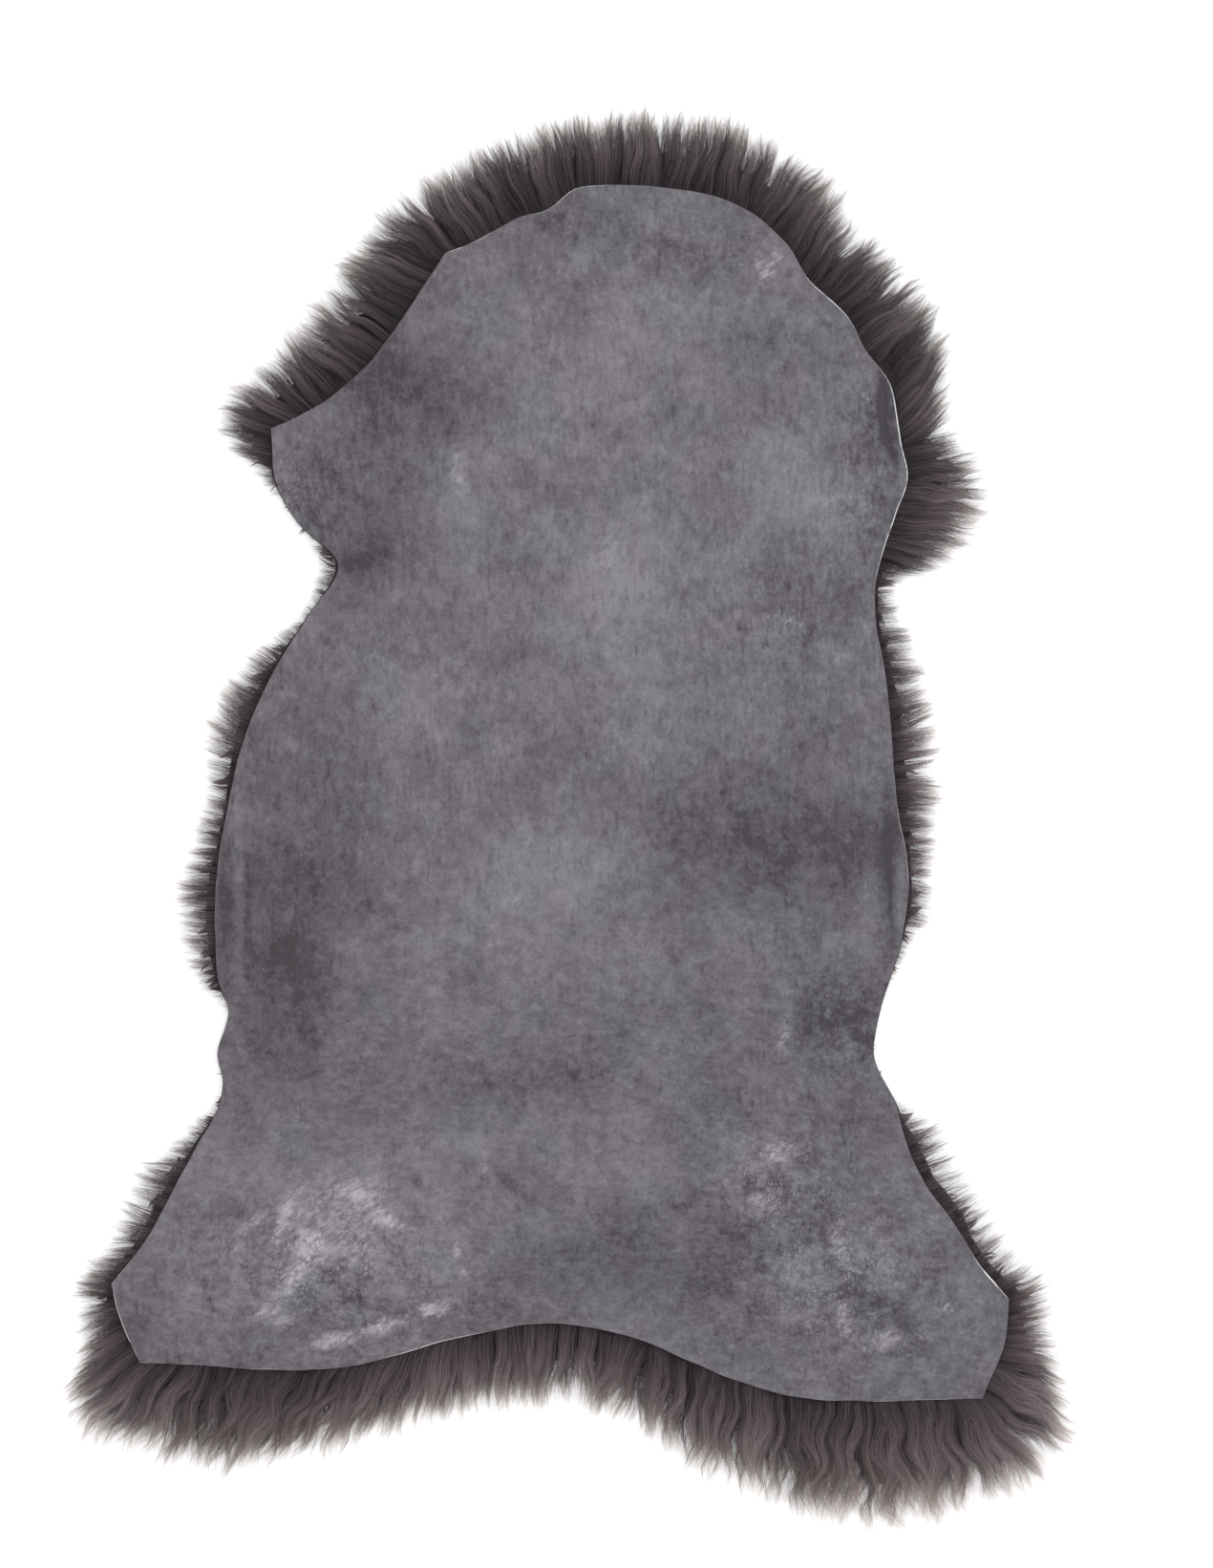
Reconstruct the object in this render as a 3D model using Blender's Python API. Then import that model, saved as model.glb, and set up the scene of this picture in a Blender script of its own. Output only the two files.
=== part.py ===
"""A tanned sheepskin lying wool side down: the thin hide on top, the fleece under it and past its edge.

Metres, +Z up. The origin is on the surface that it lies on, under the middle of its outline.
+Y points to the neck end and +X to the side on the right when the hide is seen from above.
"""

import math
from collections import namedtuple

import bmesh
import bpy
from mathutils import Vector, noise
from mathutils.geometry import delaunay_2d_cdt

MM = 0.001

HIDE_THICKNESS = 2.0 * MM
SKIN_GAP = 0.3 * MM
BODY_RISE = 40 * MM
CURL_WIDTH = 80 * MM

LATTICE_PITCH = 30 * MM
LATTICE_MARGIN = 13 * MM
FOLD_POINT_PITCH = 16 * MM

LOCK_PITCH = 12.6 * MM
LOCK_PITCH_AT = 0.6
LOCK_ROOT_AT = 0.38
LOCK_BEND_AT = 0.74
FOOT_RING_AT = 0.24
LOCK_BEND_WIDTH = 0.66
LOCK_TIP_WIDTH = 0.24
LOCK_TIP_HEIGHT = 0.16
LOCK_BEND_HEIGHT = 0.72
SHORTEST_LOCK = 0.88
LONGEST_LOCK = 1.06
ROOT_DROP = 2.0 * MM
ROOT_LUMP = 2.5 * MM

UNDER_PITCH = 36 * MM
UNDER_LUMP = 5 * MM
UNDER_LUMP_SIZE = 55 * MM
FLAT_MIDDLE = 70 * MM

# One mark on the hide's cut edge, in millimetres and degrees. rise is how high the hide's underside is
# there, reach is how far the wool stands out past the edge, comb is the way that it points (0 is +X and
# 90 is +Y), and corner marks a sharp corner of the cut.
Mark = namedtuple("Mark", "x y rise reach comb corner", defaults=(False,))

# The marks run clockwise from the crown of the neck, as seen from above.
NECK_RIGHT = (
    Mark(27, 462, 25, 52, 90),
    Mark(76, 459, 26, 57, 84),
    Mark(111, 452, 26, 57, 76),
    Mark(157, 420, 26, 58, 56),
    Mark(175, 392, 25, 56, 54),
)
RIGHT_SHOULDER = (
    Mark(202, 366, 27, 56, 41),
    Mark(216, 340, 29, 60, 46),
    Mark(232, 318, 31, 60, 50),
    Mark(239, 287, 33, 58, 46),
    Mark(242, 269, 33, 43, 24),
    Mark(246, 250, 32, 56, 5),
    Mark(237, 219, 27, 62, -4),
    Mark(228, 192, 21, 42, -12),
    Mark(224, 175, 18, 20, -5),
)
RIGHT_FLANK = (
    Mark(223, 150, 17, 17, 4),
    Mark(231, 101, 16, 23, 10),
    Mark(240, 4, 16, 25, 5),
    Mark(247, -37, 15, 14, -2),
    Mark(247, -63, 14, 16, -14),
    Mark(242, -93, 12, 8, -12),
    Mark(225, -152, 9, 4, -18),
    Mark(222, -173, 10, 4, 6),
)
RIGHT_THIGH = (
    Mark(239, -214, 13, 8, 18),
    Mark(244, -234, 17, 27, 18),
    Mark(258, -267, 20, 32, 22),
    Mark(281, -299, 21, 31, 32),
    Mark(299, -328, 21, 27, 36),
    Mark(321, -354, 20, 31, 26, True),
    Mark(318, -385, 20, 40, -4),
    Mark(301, -427, 20, 74, -38, True),
)
RUMP = (
    Mark(276, -427, 24, 80, -68),
    Mark(216, -428, 28, 87, -86),
    Mark(156, -423, 30, 78, -94),
    Mark(119, -412, 30, 73, -102),
    Mark(34, -378, 30, 60, -98),
    Mark(-17, -371, 30, 59, -92),
    Mark(-71, -379, 30, 57, -95),
    Mark(-174, -404, 29, 74, -120),
    Mark(-227, -405, 27, 78, -114),
    Mark(-273, -402, 24, 72, -117),
)
LEFT_THIGH = (
    Mark(-316, -401, 20, 67, -136, True),
    Mark(-332, -365, 19, 33, -156),
    Mark(-337, -343, 19, 27, 178, True),
    Mark(-316, -317, 20, 28, 172),
    Mark(-286, -263, 19, 28, 170),
    Mark(-273, -239, 16, 18, 166),
    Mark(-259, -214, 12, 6, 166),
)
LEFT_FLANK = (
    Mark(-256, -196, 9, 4, 180),
    Mark(-260, -177, 8, 4, 184),
    Mark(-252, -142, 9, 4, 182),
    Mark(-259, -121, 12, 14, 186),
    Mark(-261, -88, 14, 24, 183),
    Mark(-261, -53, 15, 23, 175),
    Mark(-254, -4, 15, 17, 168),
    Mark(-236, 68, 16, 25, 154),
    Mark(-216, 110, 15, 17, 150),
    Mark(-193, 147, 14, 8, 150),
)
LEFT_SHOULDER = (
    Mark(-171, 184, 16, 16, 172),
    Mark(-202, 217, 11, 4, 222),
    Mark(-216, 242, 13, 7, 204),
    Mark(-220, 284, 20, 43, 158, True),
    Mark(-190, 298, 24, 52, 138),
    Mark(-160, 320, 26, 60, 140),
    Mark(-104, 394, 26, 60, 150),
    Mark(-92, 412, 25, 61, 140, True),
)
NECK_LEFT = (
    Mark(-70, 421, 25, 60, 127),
    Mark(-36, 439, 25, 61, 116),
    Mark(-20, 443, 25, 60, 111),
    Mark(5, 460, 25, 53, 100),
)
EDGE_MARKS = (
    NECK_RIGHT + RIGHT_SHOULDER + RIGHT_FLANK + RIGHT_THIGH
    + RUMP + LEFT_THIGH + LEFT_FLANK + LEFT_SHOULDER + NECK_LEFT
)

# A soft ridge (height above 0) or trough (below 0) of the hide, along the line from (x0, y0) to (x1, y1),
# in millimetres. width is how far from the line it has fallen to about a third.
Fold = namedtuple("Fold", "name x0 y0 x1 y1 width height")
FOLDS = (
    Fold("shoulder edge trough", 213, 329, 221, 214, 11, -6),
    Fold("right waist trough", 214, -167, 179, -121, 15, -7),
    Fold("right waist swell", 153, -169, 137, -131, 34, 4),
    Fold("left waist trough", -161, 183, -111, 173, 18, -6),
    Fold("left flank edge bend", -240, -41, -239, -123, 14, 3),
    Fold("right flank edge bend", 229, -21, 232, -96, 12, 3),
    Fold("right flank hollow", 183, 9, 193, -61, 42, -4),
    Fold("left shoulder hollow", -123, 321, -111, 261, 46, -4),
    Fold("spine swell", 19, 249, 27, -91, 62, 4),
    Fold("rump crease", -51, -263, -21, -289, 15, -4),
    Fold("left thigh swell", -203, -301, -113, -323, 46, 5),
    Fold("right thigh swell", 137, -251, 197, -351, 48, 5),
    Fold("rump hollow", 27, -231, 99, -293, 44, -3),
    Fold("neck hollow", -13, 391, 73, 383, 34, -3),
)
NARROW_FOLD = 20

# How one fleece lock differs from its neighbours, as sums of slow waves round the rim.
LUMP_WAVES = ((0.83, 0.0), (2.31, 1.7), (5.07, 0.6))


def clear_scene():
    for obj in list(bpy.data.objects):
        bpy.data.objects.remove(obj)


def hermite(p0, m0, p1, m1, span, s):
    """The cubic through p0 and p1 with slopes m0 and m1, at share s of a stretch of the given span."""
    s2, s3 = s * s, s * s * s
    return (
        p0 * (2 * s3 - 3 * s2 + 1)
        + m0 * (span * (s3 - 2 * s2 + s))
        + p1 * (3 * s2 - 2 * s3)
        + m1 * (span * (s3 - s2))
    )


class Edge:
    """The cut edge with its wool: smooth closed curves through the marks, by distance along the edge."""

    def __init__(self, marks):
        self.count = len(marks)
        self.corners = [mark.corner for mark in marks]
        self.points = [Vector((mark.x, mark.y)) * MM for mark in marks]
        self.rises = [mark.rise * MM for mark in marks]
        self.tips = [
            Vector((math.cos(math.radians(m.comb)), math.sin(math.radians(m.comb)))) * (m.reach * MM) + p
            for m, p in zip(marks, self.points)
        ]
        self.starts = [0.0]
        for i in range(self.count):
            chord = (self.points[(i + 1) % self.count] - self.points[i]).length
            self.starts.append(self.starts[-1] + chord)
        self.length = self.starts[-1]

    def slope(self, values, i, side, keep_corner):
        """How values change along the edge at mark i, on one side of it where it is a corner."""
        before, after = (i - 1) % self.count, (i + 1) % self.count
        span_in = self.starts[before + 1] - self.starts[before]
        span_out = self.starts[i + 1] - self.starts[i]
        slope_in = (values[i] - values[before]) / span_in
        slope_out = (values[after] - values[i]) / span_out
        if keep_corner and self.corners[i]:
            return slope_out if side > 0 else slope_in
        return (slope_in * span_out + slope_out * span_in) / (span_in + span_out)

    def value(self, values, along, keep_corner=False):
        along %= self.length
        i = max(k for k in range(self.count) if self.starts[k] <= along)
        span = self.starts[i + 1] - self.starts[i]
        after = (i + 1) % self.count
        return hermite(
            values[i], self.slope(values, i, 1, keep_corner),
            values[after], self.slope(values, after, -1, keep_corner),
            span, (along - self.starts[i]) / span,
        )

    def point(self, along):
        return self.value(self.points, along, keep_corner=True)

    def rise(self, along):
        return self.value(self.rises, along)

    def towards_tip(self, along, share, stretch=1.0):
        """The point this share of the way from the cut edge to the tips of the wool."""
        root = self.point(along)
        return root + (self.value(self.tips, along) - root) * (share * stretch)


def even_stations(edge):
    """Places along the edge, evenly spaced where the locks fan out, with one at each sharp corner."""
    fine = 2400
    grid = [edge.length * i / fine for i in range(fine + 1)]
    places = [edge.towards_tip(a, LOCK_PITCH_AT) for a in grid]
    run = [0.0]
    for a, b in zip(places, places[1:]):
        run.append(run[-1] + (b - a).length)
    count = round(run[-1] / LOCK_PITCH)
    stations, k = [], 0
    for i in range(count):
        wanted = run[-1] * i / count
        while run[k + 1] < wanted:
            k += 1
        stations.append(grid[k] + (grid[k + 1] - grid[k]) * (wanted - run[k]) / (run[k + 1] - run[k]))
    for start, corner in zip(edge.starts, edge.corners):
        if corner:
            nearest = min(range(count), key=lambda i: abs(stations[i] - start))
            stations[nearest] = start
    return stations


def smoothstep(x):
    x = min(max(x, 0.0), 1.0)
    return x * x * (3 - 2 * x)


def distance_to_line(p, a, b):
    along = max(0.0, min(1.0, (p - a).dot(b - a) / (b - a).length_squared))
    return (p - a.lerp(b, along)).length


def fold_ends(fold):
    return Vector((fold.x0, fold.y0)) * MM, Vector((fold.x1, fold.y1)) * MM


def underside_height(p, ring):
    """How high the hide's underside is over point p. ring holds (point, rise) pairs along its edge."""
    height = BODY_RISE
    for fold in FOLDS:
        off = distance_to_line(p, *fold_ends(fold)) / (fold.width * MM)
        height += fold.height * MM * math.exp(-off * off)
    nearest, total, weights = math.inf, 0.0, 0.0
    for at, rise in ring:
        off = (p - at).length
        weight = 1 / max(off, 0.5 * MM) ** 3
        total += rise * weight
        weights += weight
        nearest = min(nearest, off)
    edge_height = total / weights
    return edge_height + (height - edge_height) * smoothstep(nearest / CURL_WIDTH)


def inside(p, outline):
    """True if p is inside the closed outline."""
    odd = False
    for a, b in zip(outline, outline[1:] + outline[:1]):
        if (a.y > p.y) != (b.y > p.y) and p.x < a.x + (b.x - a.x) * (p.y - a.y) / (b.y - a.y):
            odd = not odd
    return odd


def lattice(outline, pitch, margin, kept=()):
    """Points of a triangular lattice inside the outline, clear of it and of the points already kept."""
    low = Vector((min(p.x for p in outline), min(p.y for p in outline)))
    high = Vector((max(p.x for p in outline), max(p.y for p in outline)))
    row_height = pitch * math.sqrt(3) / 2
    found = []
    for row in range(int((high.y - low.y) / row_height) + 1):
        shift = pitch / 2 if row % 2 else 0.0
        for column in range(int((high.x - low.x) / pitch) + 1):
            p = Vector((low.x + column * pitch + shift, low.y + row * row_height))
            if not inside(p, outline):
                continue
            if min((p - q).length for q in outline) < margin:
                continue
            if any((p - q).length < 0.6 * pitch for q in kept):
                continue
            found.append(p)
    return found


def fold_points(outline):
    """Points along each narrow fold and on both sides of it, so that the hide's triangles follow it."""
    found = []
    for fold in FOLDS:
        if fold.width >= NARROW_FOLD:
            continue
        a, b = fold_ends(fold)
        along = (b - a).normalized()
        aside = Vector((-along.y, along.x)) * (1.2 * fold.width * MM)
        steps = max(1, round((b - a).length / FOLD_POINT_PITCH))
        for i in range(steps + 1):
            middle = a.lerp(b, i / steps)
            for p in (middle - aside, middle, middle + aside):
                clear = min((p - q).length for q in outline) > 0.5 * LATTICE_MARGIN
                if clear and inside(p, outline):
                    found.append(p)
    return found


def triangulate(outline, inner):
    """(points, triangles) of the outline's inside. The outline's points come first, in their own order."""
    ring = list(range(len(outline)))
    points, _, faces, *_ = delaunay_2d_cdt(outline + inner, [], [ring], 1, 1e-7)
    if len(points) != len(outline) + len(inner):
        raise ValueError("the outline crosses itself or a point is doubled")
    return points, [list(face) for face in faces]


def lump(position, seed):
    """A slow wave round the rim, from -1 to 1."""
    return sum(math.sin(rate * position + phase * seed) for rate, phase in LUMP_WAVES) / len(LUMP_WAVES)


def make_material(name, colour, roughness):
    material = bpy.data.materials.new(name)
    material.use_nodes = True
    shader = material.node_tree.nodes["Principled BSDF"]
    shader.inputs["Base Color"].default_value = (*colour, 1.0)
    shader.inputs["Roughness"].default_value = roughness
    shader.inputs["Metallic"].default_value = 0.0
    return material


def add_object(name, bm, material, parent):
    mesh = bpy.data.meshes.new(name)
    bm.to_mesh(mesh)
    bm.free()
    mesh.materials.append(material)
    obj = bpy.data.objects.new(name, mesh)
    bpy.context.scene.collection.objects.link(obj)
    obj.parent = parent
    return obj


def make_hide(points, triangles, heights, parent):
    """The skin as a thin sheet: its underside as made here, with its thickness laid on top by Solidify."""
    bm = bmesh.new()
    verts = [bm.verts.new((p.x, p.y, z)) for p, z in zip(points, heights)]
    for triangle in triangles:
        bm.faces.new([verts[i] for i in triangle])
    bmesh.ops.recalc_face_normals(bm, faces=bm.faces)
    if sum(face.normal.z for face in bm.faces) < 0:
        bmesh.ops.reverse_faces(bm, faces=bm.faces)
    suede = make_material("grey suede hide", (0.186, 0.174, 0.194), 0.92)
    hide = add_object("hide", bm, suede, parent)
    thicken = hide.modifiers.new("skin thickness", "SOLIDIFY")
    thicken.thickness = HIDE_THICKNESS
    thicken.offset = 1.0
    return hide


def lock_section(edge, start, end, share, width, height, stretch, lean):
    """The four corners of a lock's section, flat on the floor, low side first as its root face has them."""
    middle = (start + end) / 2 + lean * (end - start)
    half = width * (end - start) / 2
    near = edge.towards_tip(middle - half, share, stretch)
    far = edge.towards_tip(middle + half, share, stretch)
    return ((near.x, near.y, 0), (far.x, far.y, 0), (far.x, far.y, height), (near.x, near.y, height))


def grow_locks(bm, edge, stations, walls):
    """Draws each wall face out into a lock of wool that narrows to its tip and lies level on the floor."""
    for i, (start, wall) in enumerate(zip(stations, walls)):
        end = stations[i + 1] if i + 1 < len(stations) else edge.length
        root_height = max(vert.co.z for vert in wall.verts)
        stretch = SHORTEST_LOCK + (LONGEST_LOCK - SHORTEST_LOCK) * (0.5 + 0.5 * lump(i, 2.0))
        lean = 0.12 * lump(i, 3.0)
        sections = (
            (LOCK_BEND_AT, LOCK_BEND_WIDTH, LOCK_BEND_HEIGHT * root_height, lean / 2),
            (1.0, LOCK_TIP_WIDTH, max(LOCK_TIP_HEIGHT * root_height, MM), lean),
        )
        face = wall
        for share, width, height, shift in sections:
            face = bmesh.ops.extrude_discrete_faces(bm, faces=[face])["faces"][0]
            corners = lock_section(edge, start, end, share, width, height, stretch, shift)
            for vert, place in zip(face.verts, corners):
                vert.co = place


def make_fleece(edge, stations, rises, points, triangles, heights, parent):
    """The wool as one lumpy slab under the hide, with locks drawn out of its rim all the way round."""
    bm = bmesh.new()
    count = len(stations)
    top = [bm.verts.new((p.x, p.y, z - SKIN_GAP)) for p, z in zip(points, heights)]
    for triangle in triangles:
        bm.faces.new([top[i] for i in triangle])

    roots, feet = [], []
    for i, along in enumerate(stations):
        root = edge.towards_tip(along, LOCK_ROOT_AT)
        foot = edge.towards_tip(along, FOOT_RING_AT)
        # A low edge has less wool to drop and to swell.
        share = min(1.0, rises[i] / (20 * MM))
        height = rises[i] - SKIN_GAP - share * (ROOT_DROP - ROOT_LUMP * lump(i, 1.0) / 2)
        roots.append(bm.verts.new((root.x, root.y, height)))
        feet.append(bm.verts.new((foot.x, foot.y, 0.0)))
    walls = []
    for i in range(count):
        j = (i + 1) % count
        bm.faces.new((top[i], top[j], roots[j], roots[i]))
        walls.append(bm.faces.new((feet[i], feet[j], roots[j], roots[i])))

    foot_outline = [vert.co.xy for vert in feet]
    under_points, under_triangles = triangulate(
        foot_outline, lattice(foot_outline, UNDER_PITCH, 0.5 * UNDER_PITCH)
    )
    ring = list(zip(points[:count], rises))
    under = list(feet)
    for p in under_points[count:]:
        swell = max(0.0, noise.noise(Vector((p.x, p.y, 0)) / UNDER_LUMP_SIZE))
        room = underside_height(p, ring) / BODY_RISE
        hollow = UNDER_LUMP * swell * smoothstep(room - 0.4) if p.length > FLAT_MIDDLE else 0.0
        under.append(bm.verts.new((p.x, p.y, hollow)))
    for triangle in under_triangles:
        bm.faces.new([under[i] for i in triangle])

    grow_locks(bm, edge, stations, walls)
    bmesh.ops.recalc_face_normals(bm, faces=bm.faces)
    wool = make_material("taupe wool", (0.066, 0.051, 0.055), 0.85)
    return add_object("fleece", bm, wool, parent)


def main():
    clear_scene()
    sheepskin = bpy.data.objects.new("sheepskin", None)
    bpy.context.scene.collection.objects.link(sheepskin)

    edge = Edge(EDGE_MARKS)
    stations = even_stations(edge)
    outline = [edge.point(along) for along in stations]
    rises = [edge.rise(along) for along in stations]
    ring = list(zip(outline, rises))
    creases = fold_points(outline)
    inner = creases + lattice(outline, LATTICE_PITCH, LATTICE_MARGIN, creases)
    points, triangles = triangulate(outline, inner)
    heights = rises + [underside_height(p, ring) for p in points[len(outline):]]

    make_hide(points, triangles, heights, sheepskin)
    make_fleece(edge, stations, rises, points, triangles, heights, sheepskin)


main()
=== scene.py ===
"""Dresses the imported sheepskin: its suede hide, the wool combed out past the cut edge, and the fleece below.

Lengths are in metres and +Y is the neck end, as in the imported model. The photo's own pixels are 0.7 mm.
"""

import math
from collections import namedtuple
from functools import partial

import bpy
import numpy as np
from bpy.props import FloatProperty, FloatVectorProperty, IntProperty, PointerProperty
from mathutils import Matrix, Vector
from mathutils.geometry import delaunay_2d_cdt
from mathutils.kdtree import KDTree


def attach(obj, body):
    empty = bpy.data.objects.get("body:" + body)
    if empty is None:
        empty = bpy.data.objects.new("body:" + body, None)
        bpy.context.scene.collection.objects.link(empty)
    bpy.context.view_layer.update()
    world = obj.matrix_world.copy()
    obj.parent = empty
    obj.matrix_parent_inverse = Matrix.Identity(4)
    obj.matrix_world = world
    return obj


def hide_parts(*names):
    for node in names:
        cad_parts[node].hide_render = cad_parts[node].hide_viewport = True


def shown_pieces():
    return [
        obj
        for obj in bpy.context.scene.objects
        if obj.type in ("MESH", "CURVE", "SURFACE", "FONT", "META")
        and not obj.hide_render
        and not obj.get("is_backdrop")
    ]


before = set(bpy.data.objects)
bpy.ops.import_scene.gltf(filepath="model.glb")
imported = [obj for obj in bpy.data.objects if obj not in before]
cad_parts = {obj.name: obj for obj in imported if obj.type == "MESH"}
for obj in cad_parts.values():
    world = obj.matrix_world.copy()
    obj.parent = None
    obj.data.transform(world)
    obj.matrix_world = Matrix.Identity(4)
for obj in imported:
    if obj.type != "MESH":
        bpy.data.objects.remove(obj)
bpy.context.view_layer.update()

bl_info = {
    "name": "Sheepskin",
    "version": (1, 0, 0),
    "blender": (4, 5, 0),
    "location": "3D View > Sidebar > Sheepskin",
    "description": "Makes the suede hide, the combed wool and the stage of a long-wool sheepskin",
    "category": "Object",
}

MM = 0.001


def table(kind, *rows):
    """The rows of a table, each as one of this kind of named tuple."""
    return tuple(kind(*row) for row in rows)


# One mark on the hide's cut edge, in millimetres and degrees. rise is how high the hide's underside is
# there, reach is how far the wool stands out past the edge, comb is the way that it points (0 is +X and
# 90 is +Y), and corner marks a sharp corner of the cut.
Mark = namedtuple("Mark", "x y rise reach comb corner", defaults=(False,))

# The stretches run clockwise from the crown of the neck, as seen from above. The wool of each is a piece.
STRETCHES = {
    "neck_right": table(
        Mark,
        (27, 462, 25, 52, 90), (76, 459, 26, 57, 84), (111, 452, 26, 57, 76), (157, 420, 26, 58, 56),
        (175, 392, 25, 56, 54),
    ),
    "right_shoulder": table(
        Mark,
        (202, 366, 27, 56, 41), (216, 340, 29, 60, 46), (232, 318, 31, 60, 50), (239, 287, 33, 58, 46),
        (242, 269, 33, 43, 24), (246, 250, 32, 56, 5), (237, 219, 27, 62, -4), (228, 192, 21, 42, -12),
        (224, 175, 18, 20, -5),
    ),
    "right_flank": table(
        Mark,
        (223, 150, 17, 20, 4), (231, 101, 16, 28, 10), (240, 4, 16, 30, 5), (247, -37, 15, 20, -2),
        (247, -63, 14, 21, -14), (242, -93, 12, 10, -12), (225, -152, 9, 4, -18), (222, -173, 10, 4, 6),
    ),
    "right_thigh": table(
        Mark,
        (239, -214, 13, 8, 18), (244, -234, 17, 27, 18), (258, -267, 20, 32, 22), (281, -299, 21, 31, 32),
        (299, -328, 21, 27, 36), (321, -354, 20, 31, 26, True), (318, -385, 20, 40, -4),
        (301, -427, 20, 74, -38, True),
    ),
    "right_rump": table(
        Mark,
        (276, -427, 24, 80, -68), (216, -428, 28, 87, -86), (156, -423, 30, 78, -94),
        (119, -412, 30, 73, -102), (34, -378, 30, 60, -98),
    ),
    "left_rump": table(
        Mark,
        (-17, -371, 30, 59, -92), (-71, -379, 30, 57, -95), (-174, -404, 29, 74, -120),
        (-227, -405, 27, 78, -114), (-273, -402, 24, 72, -117),
    ),
    "left_thigh": table(
        Mark,
        (-316, -401, 20, 67, -136, True), (-332, -365, 19, 33, -156), (-337, -343, 19, 27, 178, True),
        (-316, -317, 20, 28, 172), (-286, -263, 19, 28, 170), (-273, -239, 16, 18, 166),
        (-259, -214, 12, 6, 166),
    ),
    "left_flank": table(
        Mark,
        (-256, -196, 9, 4, 180), (-260, -177, 8, 4, 184), (-252, -142, 9, 4, 182),
        (-259, -121, 12, 17, 186), (-261, -88, 14, 29, 183), (-261, -53, 15, 28, 175),
        (-254, -4, 15, 20, 168), (-236, 68, 16, 30, 154), (-216, 110, 15, 21, 150),
        (-193, 147, 14, 8, 150),
    ),
    "left_shoulder": table(
        Mark,
        (-171, 184, 16, 16, 172), (-202, 217, 11, 4, 222), (-216, 242, 13, 7, 204),
        (-220, 284, 20, 43, 158, True), (-190, 298, 24, 52, 138), (-160, 320, 26, 60, 140),
        (-104, 394, 26, 60, 150), (-92, 412, 25, 61, 140, True),
    ),
    "neck_left": table(
        Mark,
        (-70, 421, 25, 60, 127), (-36, 439, 25, 61, 116), (-20, 443, 25, 60, 111), (5, 460, 25, 53, 100),
    ),
}

BODY_RISE = 40 * MM
CURL_WIDTH = 80 * MM

# A soft ridge (height above 0) or trough (below 0) of the hide, along the line from (x0, y0) to (x1, y1),
# in millimetres. width is how far from the line it has fallen to about a third.
Fold = namedtuple("Fold", "x0 y0 x1 y1 width height")

FOLDS = table(
    Fold,
    (213, 329, 221, 214, 11, -6),  # shoulder edge trough
    (214, -167, 179, -121, 15, -7),  # right waist trough
    (153, -169, 137, -131, 34, 4),  # right waist swell
    (-161, 183, -111, 173, 18, -6),  # left waist trough
    (-240, -41, -239, -123, 14, 3),  # left flank edge bend
    (229, -21, 232, -96, 12, 3),  # right flank edge bend
    (183, 9, 193, -61, 42, -4),  # right flank hollow
    (-123, 321, -111, 261, 46, -4),  # left shoulder hollow
    (19, 249, 27, -91, 62, 4),  # spine swell
    (-51, -263, -21, -289, 15, -4),  # rump crease
    (-203, -301, -113, -323, 46, 5),  # left thigh swell
    (137, -251, 197, -351, 48, 5),  # right thigh swell
    (27, -231, 99, -293, 44, -3),  # rump hollow
    (-13, 391, 73, 383, 34, -3),  # neck hollow
)
# The creases that are too fine for the imported solid, in the same columns. Their troughs are also painted
# darker, as shade.
CREASES = table(
    Fold,
    (238, -30, 240, -92, 4, 1.1),  # right flank outer ridge
    (225, -2, 231, -88, 4, 1.2),  # right flank inner ridge
    (231, -16, 236, -90, 3.5, -1.2),  # right flank trough
    (228, 326, 228, 286, 2.2, -1.5),  # shoulder crease
    (228.5, 283, 238, 254, 2.2, -1.5),  # shoulder crease end
    (234, 312, 238, 276, 4, 1.4),  # shoulder lip
    (238, 246, 229, 205, 4, 1.2),  # shoulder lip lower
    (219, -171, 192, -142, 7, -0.9),  # waist pleat
    (205, -172, 184, -140, 6, 1.2),  # waist pleat ridge
    (-246, -35, -246, -128, 4.5, 1.3),  # left flank ridge
    (-238, -30, -237, -120, 4, -0.9),  # left flank trough
    (-170, 182, -140, 190, 7, -0.8),  # left waist pleat
    (-164, 170, -136, 160, 6, 1.0),  # left waist ridge
    (-48, -266, -30, -282, 5, -1.4),  # rump short crease
    (34, 424, 92, 416, 5, -0.6),  # neck wrinkle high
    (52, 402, 118, 396, 6, -0.6),  # neck wrinkle low
    (-230, -290, -176, -334, 7, -0.8),  # left thigh wrinkle
    (-155, -336, -154, -362, 1.8, -1.6),  # left thigh crack
    (-162, -388, -154, -396, 1.8, -1.4),  # left thigh low crack
    (-268, -340, -262, -362, 2.4, -0.9),  # left thigh outer crack
    (-160, -352, -92, -366, 7, -0.8),  # left thigh wrinkle low
    (176, -292, 208, -352, 7, -0.8),  # right thigh wrinkle
    (226, -356, 262, -392, 7, -0.7),  # right hock wrinkle
    (-190, 262, -150, 226, 7, -0.9),  # left shoulder wrinkle
    (-206, -96, -186, -186, 9, -0.8),  # flank long wrinkle
)

# A soft patch of the suede's colour, in millimetres: wide and tall are its half sizes, lean turns it
# anticlockwise in degrees, and tone runs from -1, dark, to 1, pale.
Patch = namedtuple("Patch", "x y wide tall lean tone")

# Clouds of the suede's tone: in part the dye's own unevenness, in part painted light and shade that follow the
# skin's swells and hollows, beside its folds and creases and along the curled edges of the flanks.
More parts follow.
